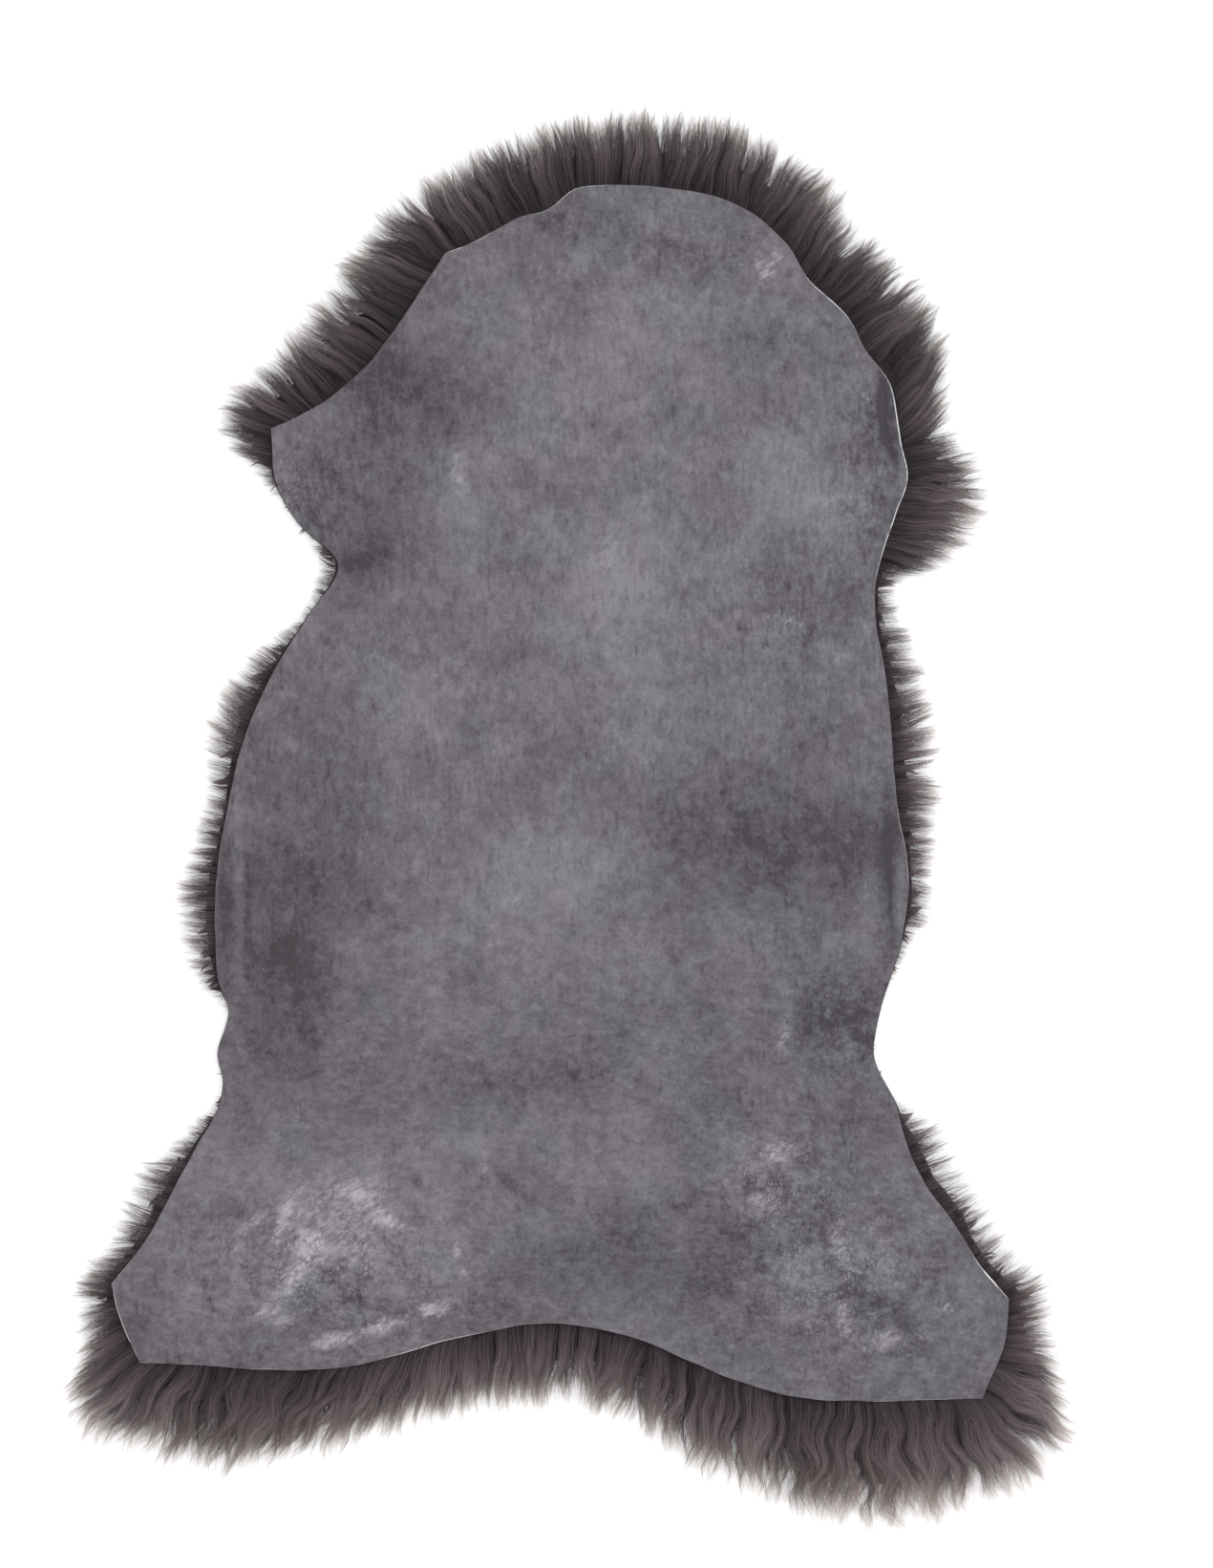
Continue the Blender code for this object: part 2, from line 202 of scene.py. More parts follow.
DYE_AND_SHADE_CLOUDS = table(
    Patch,
    (-118, 304, 46, 50, 20, -0.95), (-153, 330, 30, 30, 0, -0.5), (169, -25, 82, 46, -12, -0.85),
    (99, -4, 42, 36, 0, -0.4), (-214, -110, 46, 88, 0, -0.7), (-188, -18, 40, 60, 0, -0.35),
    (64, -316, 78, 42, -20, -0.5), (-55, -193, 84, 24, 0, -0.35), (206, -142, 30, 44, 15, -0.7),
    (1, 436, 56, 22, 10, -0.5), (113, 388, 32, 26, 0, -0.12), (234, 302, 6, 20, 0, -0.7),
    (237, 276, 5, 16, 8, -0.7), (227, 304, 6, 25, 0, -1.4), (231, 273, 4, 15, 18, -1.1),
    (232, 226, 12, 26, 0, -0.4), (-312, -378, 34, 30, 0, -0.3), (-150, 190, 30, 44, 0, -0.5),
    (29, 171, 46, 62, 0, 0.75), (162, 234, 48, 44, 0, 0.6), (-83, 248, 36, 54, 0, 0.5),
    (-118, 94, 62, 42, 0, 0.3), (-27, -53, 60, 56, 0, 0.6), (-20, -235, 100, 40, 0, 0.22),
    (29, 318, 74, 60, 0, 0.35), (71, 80, 52, 62, 0, 0.3), (15, -277, 52, 24, 10, 0.3),
    (148, -249, 42, 30, 0, 0.7), (197, -333, 56, 44, -20, 0.55), (-190, -318, 96, 60, -12, 0.9),
    (72, 400, 60, 30, 0, 0.35), (232, -40, 8, 66, 0, -0.7), (241, -56, 4, 46, 0, 0.5),
    (221, -42, 5, 50, -4, 0.3), (196, -96, 30, 22, 20, 0.4), (-255, -72, 6, 52, 0, -0.6),
    (-243, -52, 5, 38, 0, 0.45), (-130, 150, 40, 30, 0, 0.2), (180, -240, 70, 60, 0, -0.25),
    (-280, -350, 30, 30, 30, 0.2), (271, -395, 34, 28, 0, 0.15),
)
# Where the nap was scuffed pale, and where the skin is finely wrinkled, in the same columns.
SCUFFS = table(
    Patch,
    (-210, -297, 4, 19, -21, 0.9), (-230, -295, 16, 3.5, 39, 0.45), (-245, -315, 10, 3.5, 75, 0.4),
    (-254, -312, 6, 3, 20, 0.45), (-190, -313, 9, 9, 0, 1.0), (-204, -339, 18, 6, 53, 0.9),
    (-227, -363, 12, 6, 30, 0.5), (-210, -368, 9, 6, 0, 0.6), (-174, -383, 15, 6, 8, 0.85),
    (-138, -374, 17, 6, 16, 0.85), (-100, -360, 12, 6, 5, 1.0), (-133, -294, 15, 5, -25, 0.55),
    (-154, -274, 18, 10, 0, 0.5), (-174, -302, 50, 46, 0, 0.44), (-83, -317, 4, 8, 0, 0.5),
    (-79, -334, 9, 4, -25, 0.45), (-61, -258, 9, 6, -40, 0.4), (199, -366, 6, 13, 10, 0.7),
    (230, -383, 15, 11, 0, 0.6), (258, -378, 7, 7, 0, 0.45), (276, -359, 5, 5, 0, 0.5),
    (196, -318, 9, 26, 8, 0.5), (162, -330, 12, 16, 0, 0.4), (141, -280, 16, 14, 0, 0.45),
    (155, -245, 20, 9, 0, 0.55), (141, 400, 8, 9, 20, 0.6), (151, 410, 5, 6, 0, 0.5),
    (-83, 252, 8, 24, 0, 0.4), (162, 140, 9, 12, 0, 0.35), (-41, -60, 12, 9, 0, 0.35),
    (155, -161, 7, 24, -10, 0.4), (188, 230, 16, 12, 0, 0.35), (30, 196, 18, 26, 0, 0.3),
)
WRINKLES = table(
    Patch,
    (196, -342, 82, 66, -20, 0.72), (-178, -338, 104, 54, -8, 0.65), (78, 412, 70, 26, -6, 0.3),
    (150, -262, 44, 34, 0, 0.6), (196, -146, 36, 44, 0, 0.6), (-200, 232, 36, 40, 0, 0.6),
    (214, 262, 20, 80, 0, 0.5), (160, 150, 44, 50, 0, 0.4),
)
# Where the cut edge turns up its pale fibres.
GLINTS = table(
    Patch,
    (188, 376, 24, 26, 0, 0.9), (240, 275, 18, 66, 0, 1.0), (232, 200, 16, 34, 0, 0.6),
    (307, -339, 16, 18, 0, 1.0), (-328, -372, 18, 38, 0, 0.9), (-100, -388, 50, 18, 0, 1.0),
    (-212, -404, 50, 12, 0, 0.5), (230, -425, 84, 12, 0, 0.6), (5, 452, 44, 18, 0, 0.8),
    (-75, 418, 34, 18, 0, 0.7), (-250, -60, 16, 70, 0, 0.4), (240, -20, 16, 70, 0, 0.4),
)
# Where the wool is thin, or thick and long where the tone is below 0.
SPARSE = table(
    Patch,
    (282, -290, 60, 70, 0, 0.36), (-254, -60, 40, 90, 0, 0.06), (246, -10, 30, 120, 0, -0.06),
    (-247, 34, 14, 16, 0, 0.3), (-237, 84, 20, 20, 0, -0.15), (-262, -48, 14, 22, 0, -0.15),
    (246, 34, 14, 14, 0, 0.15), (242, -24, 16, 22, 0, -0.12), (-300, -280, 50, 60, 0, 0.14),
    (-150, 340, 60, 60, 0, 0.04), (-120, -400, 130, 60, 0, -0.1), (200, -430, 120, 40, 0, -0.04),
    (60, 460, 110, 50, 0, -0.07),
)
# Where the wool parts at the cut edge: it lies lower and shows the fleece's inside, and its locks are
# painted darker, as the shade in the parting.
PARTINGS = table(
    Patch,
    (233, 322, 13, 13, 0, 1.6), (188, 380, 8, 8, 0, 0.7), (-34, 440, 9, 9, 0, 0.8),
    (-100, 400, 7, 7, 0, 0.5), (240, 240, 7, 7, 0, 0.5), (-196, -405, 8, 8, 0, 0.6),
    (-120, -390, 8, 8, 0, 0.4), (98, -404, 8, 8, 0, 0.5), (180, -426, 8, 8, 0, 0.5),
)
# Where the sun bleached the wool brown.
BLEACHED = table(
    Patch,
    (336, -352, 36, 44, 0, 1.0), (-352, -352, 36, 56, 0, 0.9), (-250, -476, 110, 34, 0, 0.5),
    (170, -500, 120, 30, 0, 0.5), (-20, -440, 120, 24, 0, 0.4), (262, 250, 40, 60, 0, 0.25),
)

# How far apart the hide's points lie, on its suede side, on its back and along its cut.
HIDE_PITCH, HIDE_BACK_PITCH, CUT_EDGE_PITCH = 3.4 * MM, 11 * MM, 2.6 * MM
# The sheet is finer beside the creases that are narrower than this, in millimetres.
NARROW_CREASE = 4.5
CREASE_PITCH, CREASE_MARGIN = 1.3 * MM, 6 * MM
# The knife leaned over more where the cut shows pale, and it wavered.
CUT_BEVEL, PALE_BEVEL, CUT_WAVER = 0.3 * MM, 0.9 * MM, 0.18 * MM
# The hide's soft unevenness, in small swells and long ones: how far apart, a seed, and how high.
SWELLS = ((34 * MM, 5, 0.35 * MM), (120 * MM, 6, 0.9 * MM))
# How much tone a unit of the patches of clouds gives, and how much painted shade each millimetre of a crease's
# depth gives.
CLOUD_AND_SHADE_TONE, CREASE_SHADE = 0.46, 0.25

# The fleece's inside, painted near black as the shade between the locks: its points round the edge, how
# far apart they are elsewhere, the shares of the wool's reach where it steps down, the share where its foot
# stands, and how high its underside is.
CORE_STATIONS = 620
CORE_PITCH = 12 * MM
CORE_SHARES = (0.16, 0.32, 0.45)
CORE_FOOT_SHARE = 0.36
CORE_UNDERSIDE = 5 * MM
# Its top stays this far from the hide's underside, and under the hollows that SWELLS makes in it.
HIDE_CLEARANCE, SWELL_DEPTH = 1.0 * MM, 1.9 * MM

# The share of their reach where the locks lie evenly apart.
EVEN_AT = 0.6
# The share of its height that the wool has lost at its tips, and how late it falls.
DROOP = 0.84
DROOP_POWER = 2.6

# One layer of the combed wool, from the floor up. level is the layer's share of the hide's height at the
# edge, spacing and width are those of its locks in millimetres, strands is their number for each
# millimetre of length, fill scales how far the wool stays dense, and wave and lean are how far the locks
# wander, in millimetres and degrees.
Layer = namedtuple("Layer", "name level spacing width strands fill wave lean")
LAYERS = (
    Layer("lower", 0.22, 7.0, 10.0, 0.85, 0.98, 2.8, 8),
    Layer("middle", 0.6, 6.0, 8.0, 0.9, 1.03, 2.8, 7),
    Layer("upper", 0.86, 6.8, 7.0, 1.35, 1.02, 2.9, 7),
)
# How far under the hide a strand can start.
ROOT_DEPTH = 11 * MM
STRAND_POINTS = 6
WAVE_LENGTH = 42 * MM
BEND = 5 * MM
# Wool of this reach bends and waves as the layers say, and longer wool does so more.
SLACK_REACH = 60 * MM
# Wool that reaches less than THIN_REACH is thin all the way, and wool past FULL_REACH is dense to its tips.
THIN_REACH = 16 * MM
FULL_REACH = 50 * MM
# Loose strands stray from their lock. The others gather in wisps.
LOOSE_SHARE = 0.22
WISPS = 4
# How far a lock's middle stands above its sides, and how far it arches up on its way out.
LOCK_ROUND, LOCK_ARCH = 2.2 * MM, 2.0 * MM
# Wool that reaches less than BARE_REACH is gone, and is whole again EASE_REACH further out.
BARE_REACH = 3 * MM
EASE_REACH = 7 * MM

# The flattened tufts of the underside.
TUFT_PITCH = 16.5 * MM
TUFT_STRANDS = 6
TUFT_LENGTH = 42 * MM
TUFT_HEIGHT, TUFT_STRAND_WIDTH = 5.5 * MM, 2.6 * MM
TUFT_WAVE, TUFT_WAVE_LENGTH = 2.6 * MM, 30 * MM

# The photo's middle and height, which the camera takes from straight above.
CAMERA_CENTRE = (25.9 * MM, 23.5 * MM)
CAMERA_HEIGHT = 4.0
VIEW_TALL = 1642 * 0.7 * MM
SENSOR = 36.0


def linear(hex_colour):
    """An sRGB hex colour such as #76717A as linear red, green and blue, with a full alpha."""
    parts = [int(hex_colour[i:i + 2], 16) / 255 for i in (1, 3, 5)]
    return (*(c / 12.92 if c <= 0.04045 else ((c + 0.055) / 1.055) ** 2.4 for c in parts), 1.0)


def smoothstep(x):
    """0 up to x = 0 and 1 from x = 1 on, with a soft rise between them."""
    x = np.clip(x, 0.0, 1.0)
    return x * x * (3 - 2 * x)


def swell(points, size, seed, waves=7):
    """Smooth rolling unevenness from about -1 to 1 at each point, with its swells about size apart."""
    rng = np.random.default_rng(seed)
    total = np.zeros(len(points))
    for turn in rng.uniform(0, math.tau, waves):
        step = math.tau / (size * rng.uniform(0.7, 1.5))
        way = np.array((math.cos(turn), math.sin(turn)))
        total += np.sin(points @ way * step + rng.uniform(0, math.tau))
    return total / math.sqrt(waves)


class Rim:
    """The hide's cut edge and the wool past it: smooth closed curves through the marks.

    Each is read by the distance along the cut edge.
    """

    def __init__(self, stretches):
        marks = [mark for stretch in stretches.values() for mark in stretch]
        comb = np.radians([mark.comb for mark in marks])
        reach = np.array([[mark.reach * MM] for mark in marks])
        self.corners = np.array([[mark.corner] for mark in marks])
        self.edges = np.array([(mark.x * MM, mark.y * MM) for mark in marks])
        self.tips = self.edges + reach * np.column_stack((np.cos(comb), np.sin(comb)))
        self.rises = np.array([[mark.rise * MM] for mark in marks])
        self.spans = np.linalg.norm(np.roll(self.edges, -1, axis=0) - self.edges, axis=1)[:, None]
        self.starts = np.concatenate(([0.0], np.cumsum(self.spans)))
        self.length = self.starts[-1]
        firsts = np.cumsum([0] + [len(stretch) for stretch in stretches.values()])[:-1]
        self.stretch_starts = self.starts[firsts]

    def curve(self, values, along, keep_corners=False):
        """values, one row for each mark, read at these distances along the edge."""
        along = np.asarray(along) % self.length
        i = np.searchsorted(self.starts, along, side="right") - 1
        after = (i + 1) % len(values)
        leaving = (np.roll(values, -1, axis=0) - values) / self.spans
        arriving, span_in = np.roll(leaving, 1, axis=0), np.roll(self.spans, 1, axis=0)
        through = (arriving * self.spans + leaving * span_in) / (self.spans + span_in)
        sharp = self.corners & keep_corners
        out, into = np.where(sharp, leaving, through), np.where(sharp, arriving, through)
        span = self.spans[i]
        s = (along[:, None] - self.starts[i][:, None]) / span
        s2, s3 = s * s, s * s * s
        return (
            values[i] * (2 * s3 - 3 * s2 + 1)
            + out[i] * span * (s3 - 2 * s2 + s)
            + values[after] * (3 * s2 - 2 * s3)
            + into[after] * span * (s3 - s2)
        )

    def edge(self, along):
        return self.curve(self.edges, along, keep_corners=True)

    def tip(self, along):
        return self.curve(self.tips, along)

    def rise(self, along):
        return self.curve(self.rises, along)[:, 0]

    def stations(self, share, pitch, keep_corners=False):
        """Distances along the edge whose points at that share of the wool's reach lie evenly apart."""
        grid = np.linspace(0.0, self.length, 6001)
        edge = self.edge(grid)
        places = edge + (self.tip(grid) - edge) * share
        steps = np.linalg.norm(np.diff(places, axis=0), axis=1)
        run = np.concatenate(([0.0], np.cumsum(steps)))
        count = round(run[-1] / pitch)
        found = np.interp(np.arange(count) * run[-1] / count, run, grid)
        if keep_corners:
            for start in self.starts[:-1][self.corners[:, 0]]:
                found[np.argmin(np.abs(found - start))] = start
        return found


RIM = Rim(STRETCHES)
RING = RIM.stations(EVEN_AT, 12 * MM, keep_corners=True)
RING_POINTS, RING_RISES = RIM.edge(RING), RIM.rise(RING)


def distance_to_line(points, fold):
    a, b = np.array((fold.x0, fold.y0)) * MM, np.array((fold.x1, fold.y1)) * MM
    along = np.clip((points - a) @ (b - a) / ((b - a) @ (b - a)), 0, 1)
    return np.linalg.norm(points - a - along[:, None] * (b - a), axis=1)


def fold_height(points, folds):
    """The folds' heights added up at each point, in metres. Each falls off to its sides like a bell."""
    total = np.zeros(len(points))
    for fold in folds:
        total += fold.height * MM * np.exp(-(distance_to_line(points, fold) / (fold.width * MM)) ** 2)
    return total


def underside_height(points):
    """How high the hide's underside is over these points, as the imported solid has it."""
    height = BODY_RISE + fold_height(points, FOLDS)
    off = np.linalg.norm(points[:, None, :] - RING_POINTS[None, :, :], axis=2)
    weight = 1 / np.maximum(off, 0.5 * MM) ** 3
    edge_height = (weight * RING_RISES).sum(1) / weight.sum(1)
    return edge_height + (height - edge_height) * smoothstep(off.min(1) / CURL_WIDTH)


def patch_sum(points, patches):
    """The patches' tones added up at each point, each fading out like a bell."""
    total = np.zeros(len(points))
    for patch in patches:
        away = (points - np.array((patch.x, patch.y)) * MM) / MM
        c, s = math.cos(math.radians(patch.lean)), math.sin(math.radians(patch.lean))
        across = (away[:, 0] * c + away[:, 1] * s) / patch.wide
        up = (away[:, 1] * c - away[:, 0] * s) / patch.tall
        total += patch.tone * np.exp(-(across**2 + up**2))
    return total


def beside_crease(points):
    """Which of the points lie close beside a narrow crease."""
    away = [distance_to_line(points, fold) for fold in CREASES if fold.width < NARROW_CREASE]
    return np.min(away, axis=0) < CREASE_MARGIN


def lattice(outline, pitch, clearance, keep=None):
    """Points of a triangular lattice inside the outline that keep this clearance from its own points.

    Where keep is given, only the points for which it is true are kept.
    """
    tree = KDTree(len(outline))
    for i, p in enumerate(outline):
        tree.insert((p[0], p[1], 0), i)
    tree.balance()
    after = np.roll(outline, -1, axis=0)
    low, high = outline.min(0), outline.max(0)
    found = []
    for row, y in enumerate(np.arange(low[1], high[1], pitch * math.sqrt(3) / 2)):
        cut = (outline[:, 1] > y) != (after[:, 1] > y)
        a, b = outline[cut], after[cut]
        crossings = np.sort(a[:, 0] + (y - a[:, 1]) / (b[:, 1] - a[:, 1]) * (b[:, 0] - a[:, 0]))
        xs = np.arange(low[0] + (row % 2) * pitch / 2, high[0], pitch)
        for left, right in zip(crossings[::2], crossings[1::2]):
            found += [(x, y) for x in xs[(xs > left) & (xs < right)]]
    found = np.array(found)
    if keep is not None:
        found = found[keep(found)]
    return found[[tree.find((x, y, 0))[2] > clearance for x, y in found]]


def triangulate(outline, inner):
    """(points, triangles) of the outline's inside, the outline's points first, triangles facing up."""
    points = np.concatenate((outline, inner))
    ring = list(range(len(outline)))
    flat, _, faces, *_ = delaunay_2d_cdt([Vector(p) for p in points], [], [ring], 1, 1e-8)
    if len(flat) != len(points):
        raise ValueError("the outline crosses itself or a point is doubled")
    faces = np.array([list(face) for face in faces])
    a, b, c = points[faces[:, 0]], points[faces[:, 1]], points[faces[:, 2]]
    area = (b[:, 0] - a[:, 0]) * (c[:, 1] - a[:, 1]) - (b[:, 1] - a[:, 1]) * (c[:, 0] - a[:, 0])
    faces[area < 0] = faces[area < 0][:, ::-1]
    return points, faces


def strip(upper, lower):
    """Quads between two rings of vertex numbers, facing out when the rings run clockwise from above."""
    return np.column_stack((upper, np.roll(upper, -1), np.roll(lower, -1), lower))


def build_object(name, verts, face_sets, materials):
    """An object from vertex places and arrays of equal-sided faces, smooth shaded."""
    mesh = bpy.data.meshes.new(name)
    corners = np.concatenate([faces.ravel() for faces in face_sets]).astype(np.int32)
    sizes = np.concatenate([np.full(len(faces), faces.shape[1]) for faces in face_sets])
    mesh.vertices.add(len(verts))
    mesh.vertices.foreach_set("co", verts.astype(np.float32).ravel())
    mesh.loops.add(len(corners))
    mesh.loops.foreach_set("vertex_index", corners)
    mesh.polygons.add(len(sizes))
    mesh.polygons.foreach_set("loop_start", np.concatenate(([0], np.cumsum(sizes)[:-1])).astype(np.int32))
    mesh.update(calc_edges=True)
    mesh.shade_smooth()
    for material in materials:
        mesh.materials.append(material)
    obj = bpy.data.objects.new(name, mesh)
    bpy.context.scene.collection.objects.link(obj)
    return obj


def paint(obj, name, channels):
    """Keeps up to four channels, each a number for every vertex, as one colour attribute."""
    rgba = np.ones((len(obj.data.vertices), 4), np.float32)
    for i, channel in enumerate(channels):
        rgba[:, i] = channel
    layer = obj.data.attributes.new(name, "FLOAT_COLOR", "POINT")
    layer.data.foreach_set("color", rgba.ravel())


def lay_map(obj, across, up):
    """A UV map that puts each vertex at (across, up), so that strands of one tone share a strip of it."""
    corners = np.zeros(len(obj.data.loops), np.int32)
    obj.data.loops.foreach_get("vertex_index", corners)
    layer = obj.data.uv_layers.new(name="OFBake")
    layer.uv.foreach_set("vector", np.column_stack((across, up))[corners].astype(np.float32).ravel())


def add_node(tree, kind, *values, named=(), stops=(), **settings):
    """Adds a node with its settings and links, and gives its outputs.

    values fill its first inputs in their order and named fills others by name or number. Each is a
    constant or an output to link. stops are a colour ramp's (place, linear colour) pairs.
    """
    made = tree.nodes.new("ShaderNode" + kind)
    for name, value in settings.items():
        setattr(made, name, value)
    for key, value in (*enumerate(values), *dict(named).items()):
        if isinstance(value, bpy.types.NodeSocket):
            tree.links.new(value, made.inputs[key])
        else:
            made.inputs[key].default_value = value
    if stops:
        elements = made.color_ramp.elements
        while len(elements) < len(stops):
            elements.new(0.5)
        for element, (place, colour) in zip(elements, stops):
            element.position, element.color = place, colour
    return made.outputs


# Settings that many nodes share. SOFT spreads a value between two ends, and eases it in at both.
TIMES, PLUS, TIMES_PLUS = ({"operation": name} for name in ("MULTIPLY", "ADD", "MULTIPLY_ADD"))
SOFT = {"interpolation_type": "SMOOTHSTEP"}
# A Mix node that mixes colours takes them at its inputs 6 and 7, and gives the result at its output 2.
COLOUR = {"data_type": "RGBA"}


def new_material(name, roughness, specular, sheen=0.0):
    """A material whose Principled surface has these constant values, as (material, tree, shader)."""
    material = bpy.data.materials.new(name)
    material.use_nodes = True
    tree = material.node_tree
    shader = tree.nodes["Principled BSDF"]
    shader.inputs["Roughness"].default_value = roughness
    shader.inputs["Specular IOR Level"].default_value = specular
    shader.inputs["Sheen Weight"].default_value = sheen
    return material, tree, shader


def grain(tree, coordinates, size_mm, stretch=(1, 1, 1), detail=4.0, roughness=0.55):
    """Cloudy noise from 0 to 1, its grains about size_mm across and drawn out along stretched axes."""
    # It is turned out of line with the noise's own lattice, which would show as a weave.
    placed = add_node(tree, "Mapping", coordinates, named={
        "Rotation": (0.6, 0.35, 0.8), "Scale": tuple(1000 / (size_mm * s) for s in stretch),
    })["Vector"]
    settled = {"Scale": 1.0, "Detail": detail, "Roughness": roughness}
    return add_node(tree, "TexNoise", placed, named=settled)["Fac"]


def raise_surface(tree, shader, *layers):
    """Lays patterns over one another as relief, each with its strength and its depth in millimetres."""
    below = {}
    for height, strength, depth in layers:
        relief = {"Height": height, "Strength": strength, "Distance": depth * MM, **below}
        below = {"Normal": add_node(tree, "Bump", named=relief)["Normal"]}
    tree.links.new(below["Normal"], shader.inputs["Normal"])


def suede_material(colours):
    """Buffed flesh side of a tanned sheepskin: a very matt nap, clouded by the dye and by painted light
    and shade, brushed in streaks.
    """
    material, tree, shader = new_material("buffed suede", 0.95, 0.15, sheen=0.1)
    shader.inputs["Sheen Roughness"].default_value = 0.6
    add = partial(add_node, tree)
    place = add("TexCoord")["Object"]
    marks = add("Attribute", attribute_name="suede", attribute_type="GEOMETRY")["Color"]
    cloud_and_shade, scuff, wrinkle = add("SeparateColor", marks)
    axes = add("SeparateXYZ", place)
    rump = add("MapRange", axes["Y"], 0.06, -0.2, **SOFT)[0]

    # The dye took unevenly: blotches down to the size of a fingertip, then the felted look of the nap.
    blotches = grain(tree, place, 44, detail=4, roughness=0.75)
    mottle = grain(tree, place, 9, detail=3, roughness=0.8)
    felt = grain(tree, place, 2.6, detail=2, roughness=0.8)
    # The nap lies in short upright strokes over the back and in cross strokes over the rump.
    upright = grain(tree, place, 4.2, stretch=(1, 3.2, 1), detail=3, roughness=0.7)
    across = grain(tree, place, 4.2, stretch=(2.6, 1, 1), detail=3, roughness=0.7)
    strokes = add("Mix", named={0: rump, 2: upright, 3: across})[0]

    # Short slits between the strokes, where the buffing wheel missed.
    slit = grain(tree, place, 3.6, stretch=(1, 4.5, 1), detail=3, roughness=0.6)
    slit = add("MapRange", slit, 0.5, 0.3, **SOFT)[0]
    missed = add("MapRange", grain(tree, place, 24, detail=2), 0.42, 0.6, **SOFT)[0]
    slit = add("Math", slit, missed, **TIMES)[0]

    nap = add("Math", slit, -0.2, **TIMES)[0]
    for pattern, weight in ((blotches, 1.1), (mottle, 0.9), (strokes, 0.7), (felt, 0.55)):
        centred = add("Math", nap, -weight / 2, **PLUS)[0]
        nap = add("Math", pattern, weight, centred, **TIMES_PLUS)[0]
    # The thin skin of the thighs took the dye least evenly.
    contrast = add("Math", wrinkle, 0.95, 1.0, **TIMES_PLUS)[0]
    nap = add("Math", nap, contrast, **TIMES)[0]
    # The painted clouds add the dye's patches and the painted light and shade of the skin's relief.
    tone = add("Math", nap, cloud_and_shade, **PLUS)[0]
    base = add("ValToRGB", tone, stops=(
        (0.0, colours["dark"]), (0.5, colours["mid"]), (1.0, colours["pale"]),
    ))["Color"]
    # A faint drift between a warm and a cool grey, cooler to the right, as dyed suede has.
    drift = add("Math", axes["X"], 0.4, grain(tree, place, 60, detail=4), **TIMES_PLUS)[0]
    drift = add("MapRange", drift, 0.36, 0.64, **SOFT)[0]
    tint = add("Mix", named={0: drift, 6: colours["warm"], 7: colours["cool"]}, **COLOUR)[2]
    base = add("Mix", named={0: 0.35, 6: base, 7: tint}, **COLOUR, blend_type="OVERLAY")[2]

    # Pale flecks where the buffing opened the fibres, all over but sparse.
    fleck = grain(tree, place, 5.5, detail=3, roughness=0.75)
    fleck = add("MapRange", fleck, 0.62, 0.8, **SOFT)[0]
    fleck = add("Math", fleck, 0.3, **TIMES)[0]
    base = add("Mix", named={0: fleck, 6: base, 7: colours["pale"]}, **COLOUR)[2]

    # Pale scuffs, soft and broken up by the nap.
    leaning = add("Mapping", place, named={"Rotation": (0, 0, math.radians(-38))})["Vector"]
    broken = grain(tree, leaning, 3.6, stretch=(2.4, 1, 1), detail=5, roughness=0.85)
    broken = add("Math", broken, 0.5, operation="SUBTRACT")[0]
    worn = add("Math", broken, 3.2, scuff, **TIMES_PLUS)[0]
    worn = add("MapRange", worn, 0.05, 1.35, **SOFT)[0]
    rubbed = add("MapRange", scuff, 0.04, 0.4, **SOFT)[0]
    worn = add("Math", worn, rubbed, **TIMES)[0]
    base = add("Mix", named={0: worn, 6: base, 7: colours["scuff"]}, **COLOUR)[2]

    # Fine wrinkles, only where the skin is marked as wrinkled: worm-like dark lines round paler pads.
    # The cell pattern behind them is pushed about by noise, so that its lines are uneven.
    push = add("TexNoise", place, named={"Scale": 1000 / 5, "Detail": 3.0})["Color"]
    pushed = add("VectorMath", push, (0.007,) * 3, place, **TIMES_PLUS)["Vector"]
    drawn_out = add("Mapping", pushed, named={"Scale": (1.0, 0.6, 1.0)})["Vector"]
    cells = add("TexVoronoi", drawn_out, named={"Scale": 1000 / 3.8}, feature="DISTANCE_TO_EDGE")
    hairline = add("MapRange", cells["Distance"], 0.22, 0.02, **SOFT)[0]
    patchy = add("MapRange", grain(tree, place, 17, detail=2), 0.36, 0.62, **SOFT)[0]
    patchy = add("Math", wrinkle, patchy, **TIMES)[0]
    hairline = add("Math", hairline, patchy, **TIMES)[0]
    base = add("Mix", named={0: hairline, 6: base, 7: colours["crack"]}, **COLOUR)[2]
    tree.links.new(base, shader.inputs["Base Color"])

    sunk_slit, sunk_hairline = (add("Math", line, -1.0, **TIMES)[0] for line in (slit, hairline))
    raise_surface(
        tree, shader, (mottle, 0.35, 0.9), (strokes, 0.4, 0.5), (sunk_slit, 0.5, 0.4), (felt, 0.5, 0.3),
        (sunk_hairline, 0.6, 0.4),
    )
    return material


def cut_edge_material(colours):
    """The knife-cut edge of the skin: dyed for the most part, with undyed pale fibres where it turns up."""
    material, tree, shader = new_material("cut leather edge", 0.9, 0.2)
    add = partial(add_node, tree)
    place = add("TexCoord")["Object"]
    glint = add("Attribute", attribute_name="glint", attribute_type="GEOMETRY")["Fac"]
    fibres = grain(tree, place, 2.5, detail=4, roughness=0.7)
    patches = grain(tree, place, 16, detail=3, roughness=0.7)
    patches = add("MapRange", patches, 0.35, 0.6, **SOFT)[0]
    patches = add("Math", patches, 0.8, 0.2, **TIMES_PLUS)[0]
    tone = add("Math", glint, patches, **TIMES)[0]
    tone = add("Math", tone, 1.3, -0.05, **TIMES_PLUS)[0]
    tone = add("Math", fibres, 0.3, tone, **TIMES_PLUS)[0]
    tone = add("MapRange", tone, 0.0, 1.0, **SOFT)[0]
    base = add("Mix", named={0: tone, 6: colours["mid"], 7: colours["cut"]}, **COLOUR)[2]
    tree.links.new(base, shader.inputs["Base Color"])
    raise_surface(tree, shader, (fibres, 0.5, 0.4))
    return material


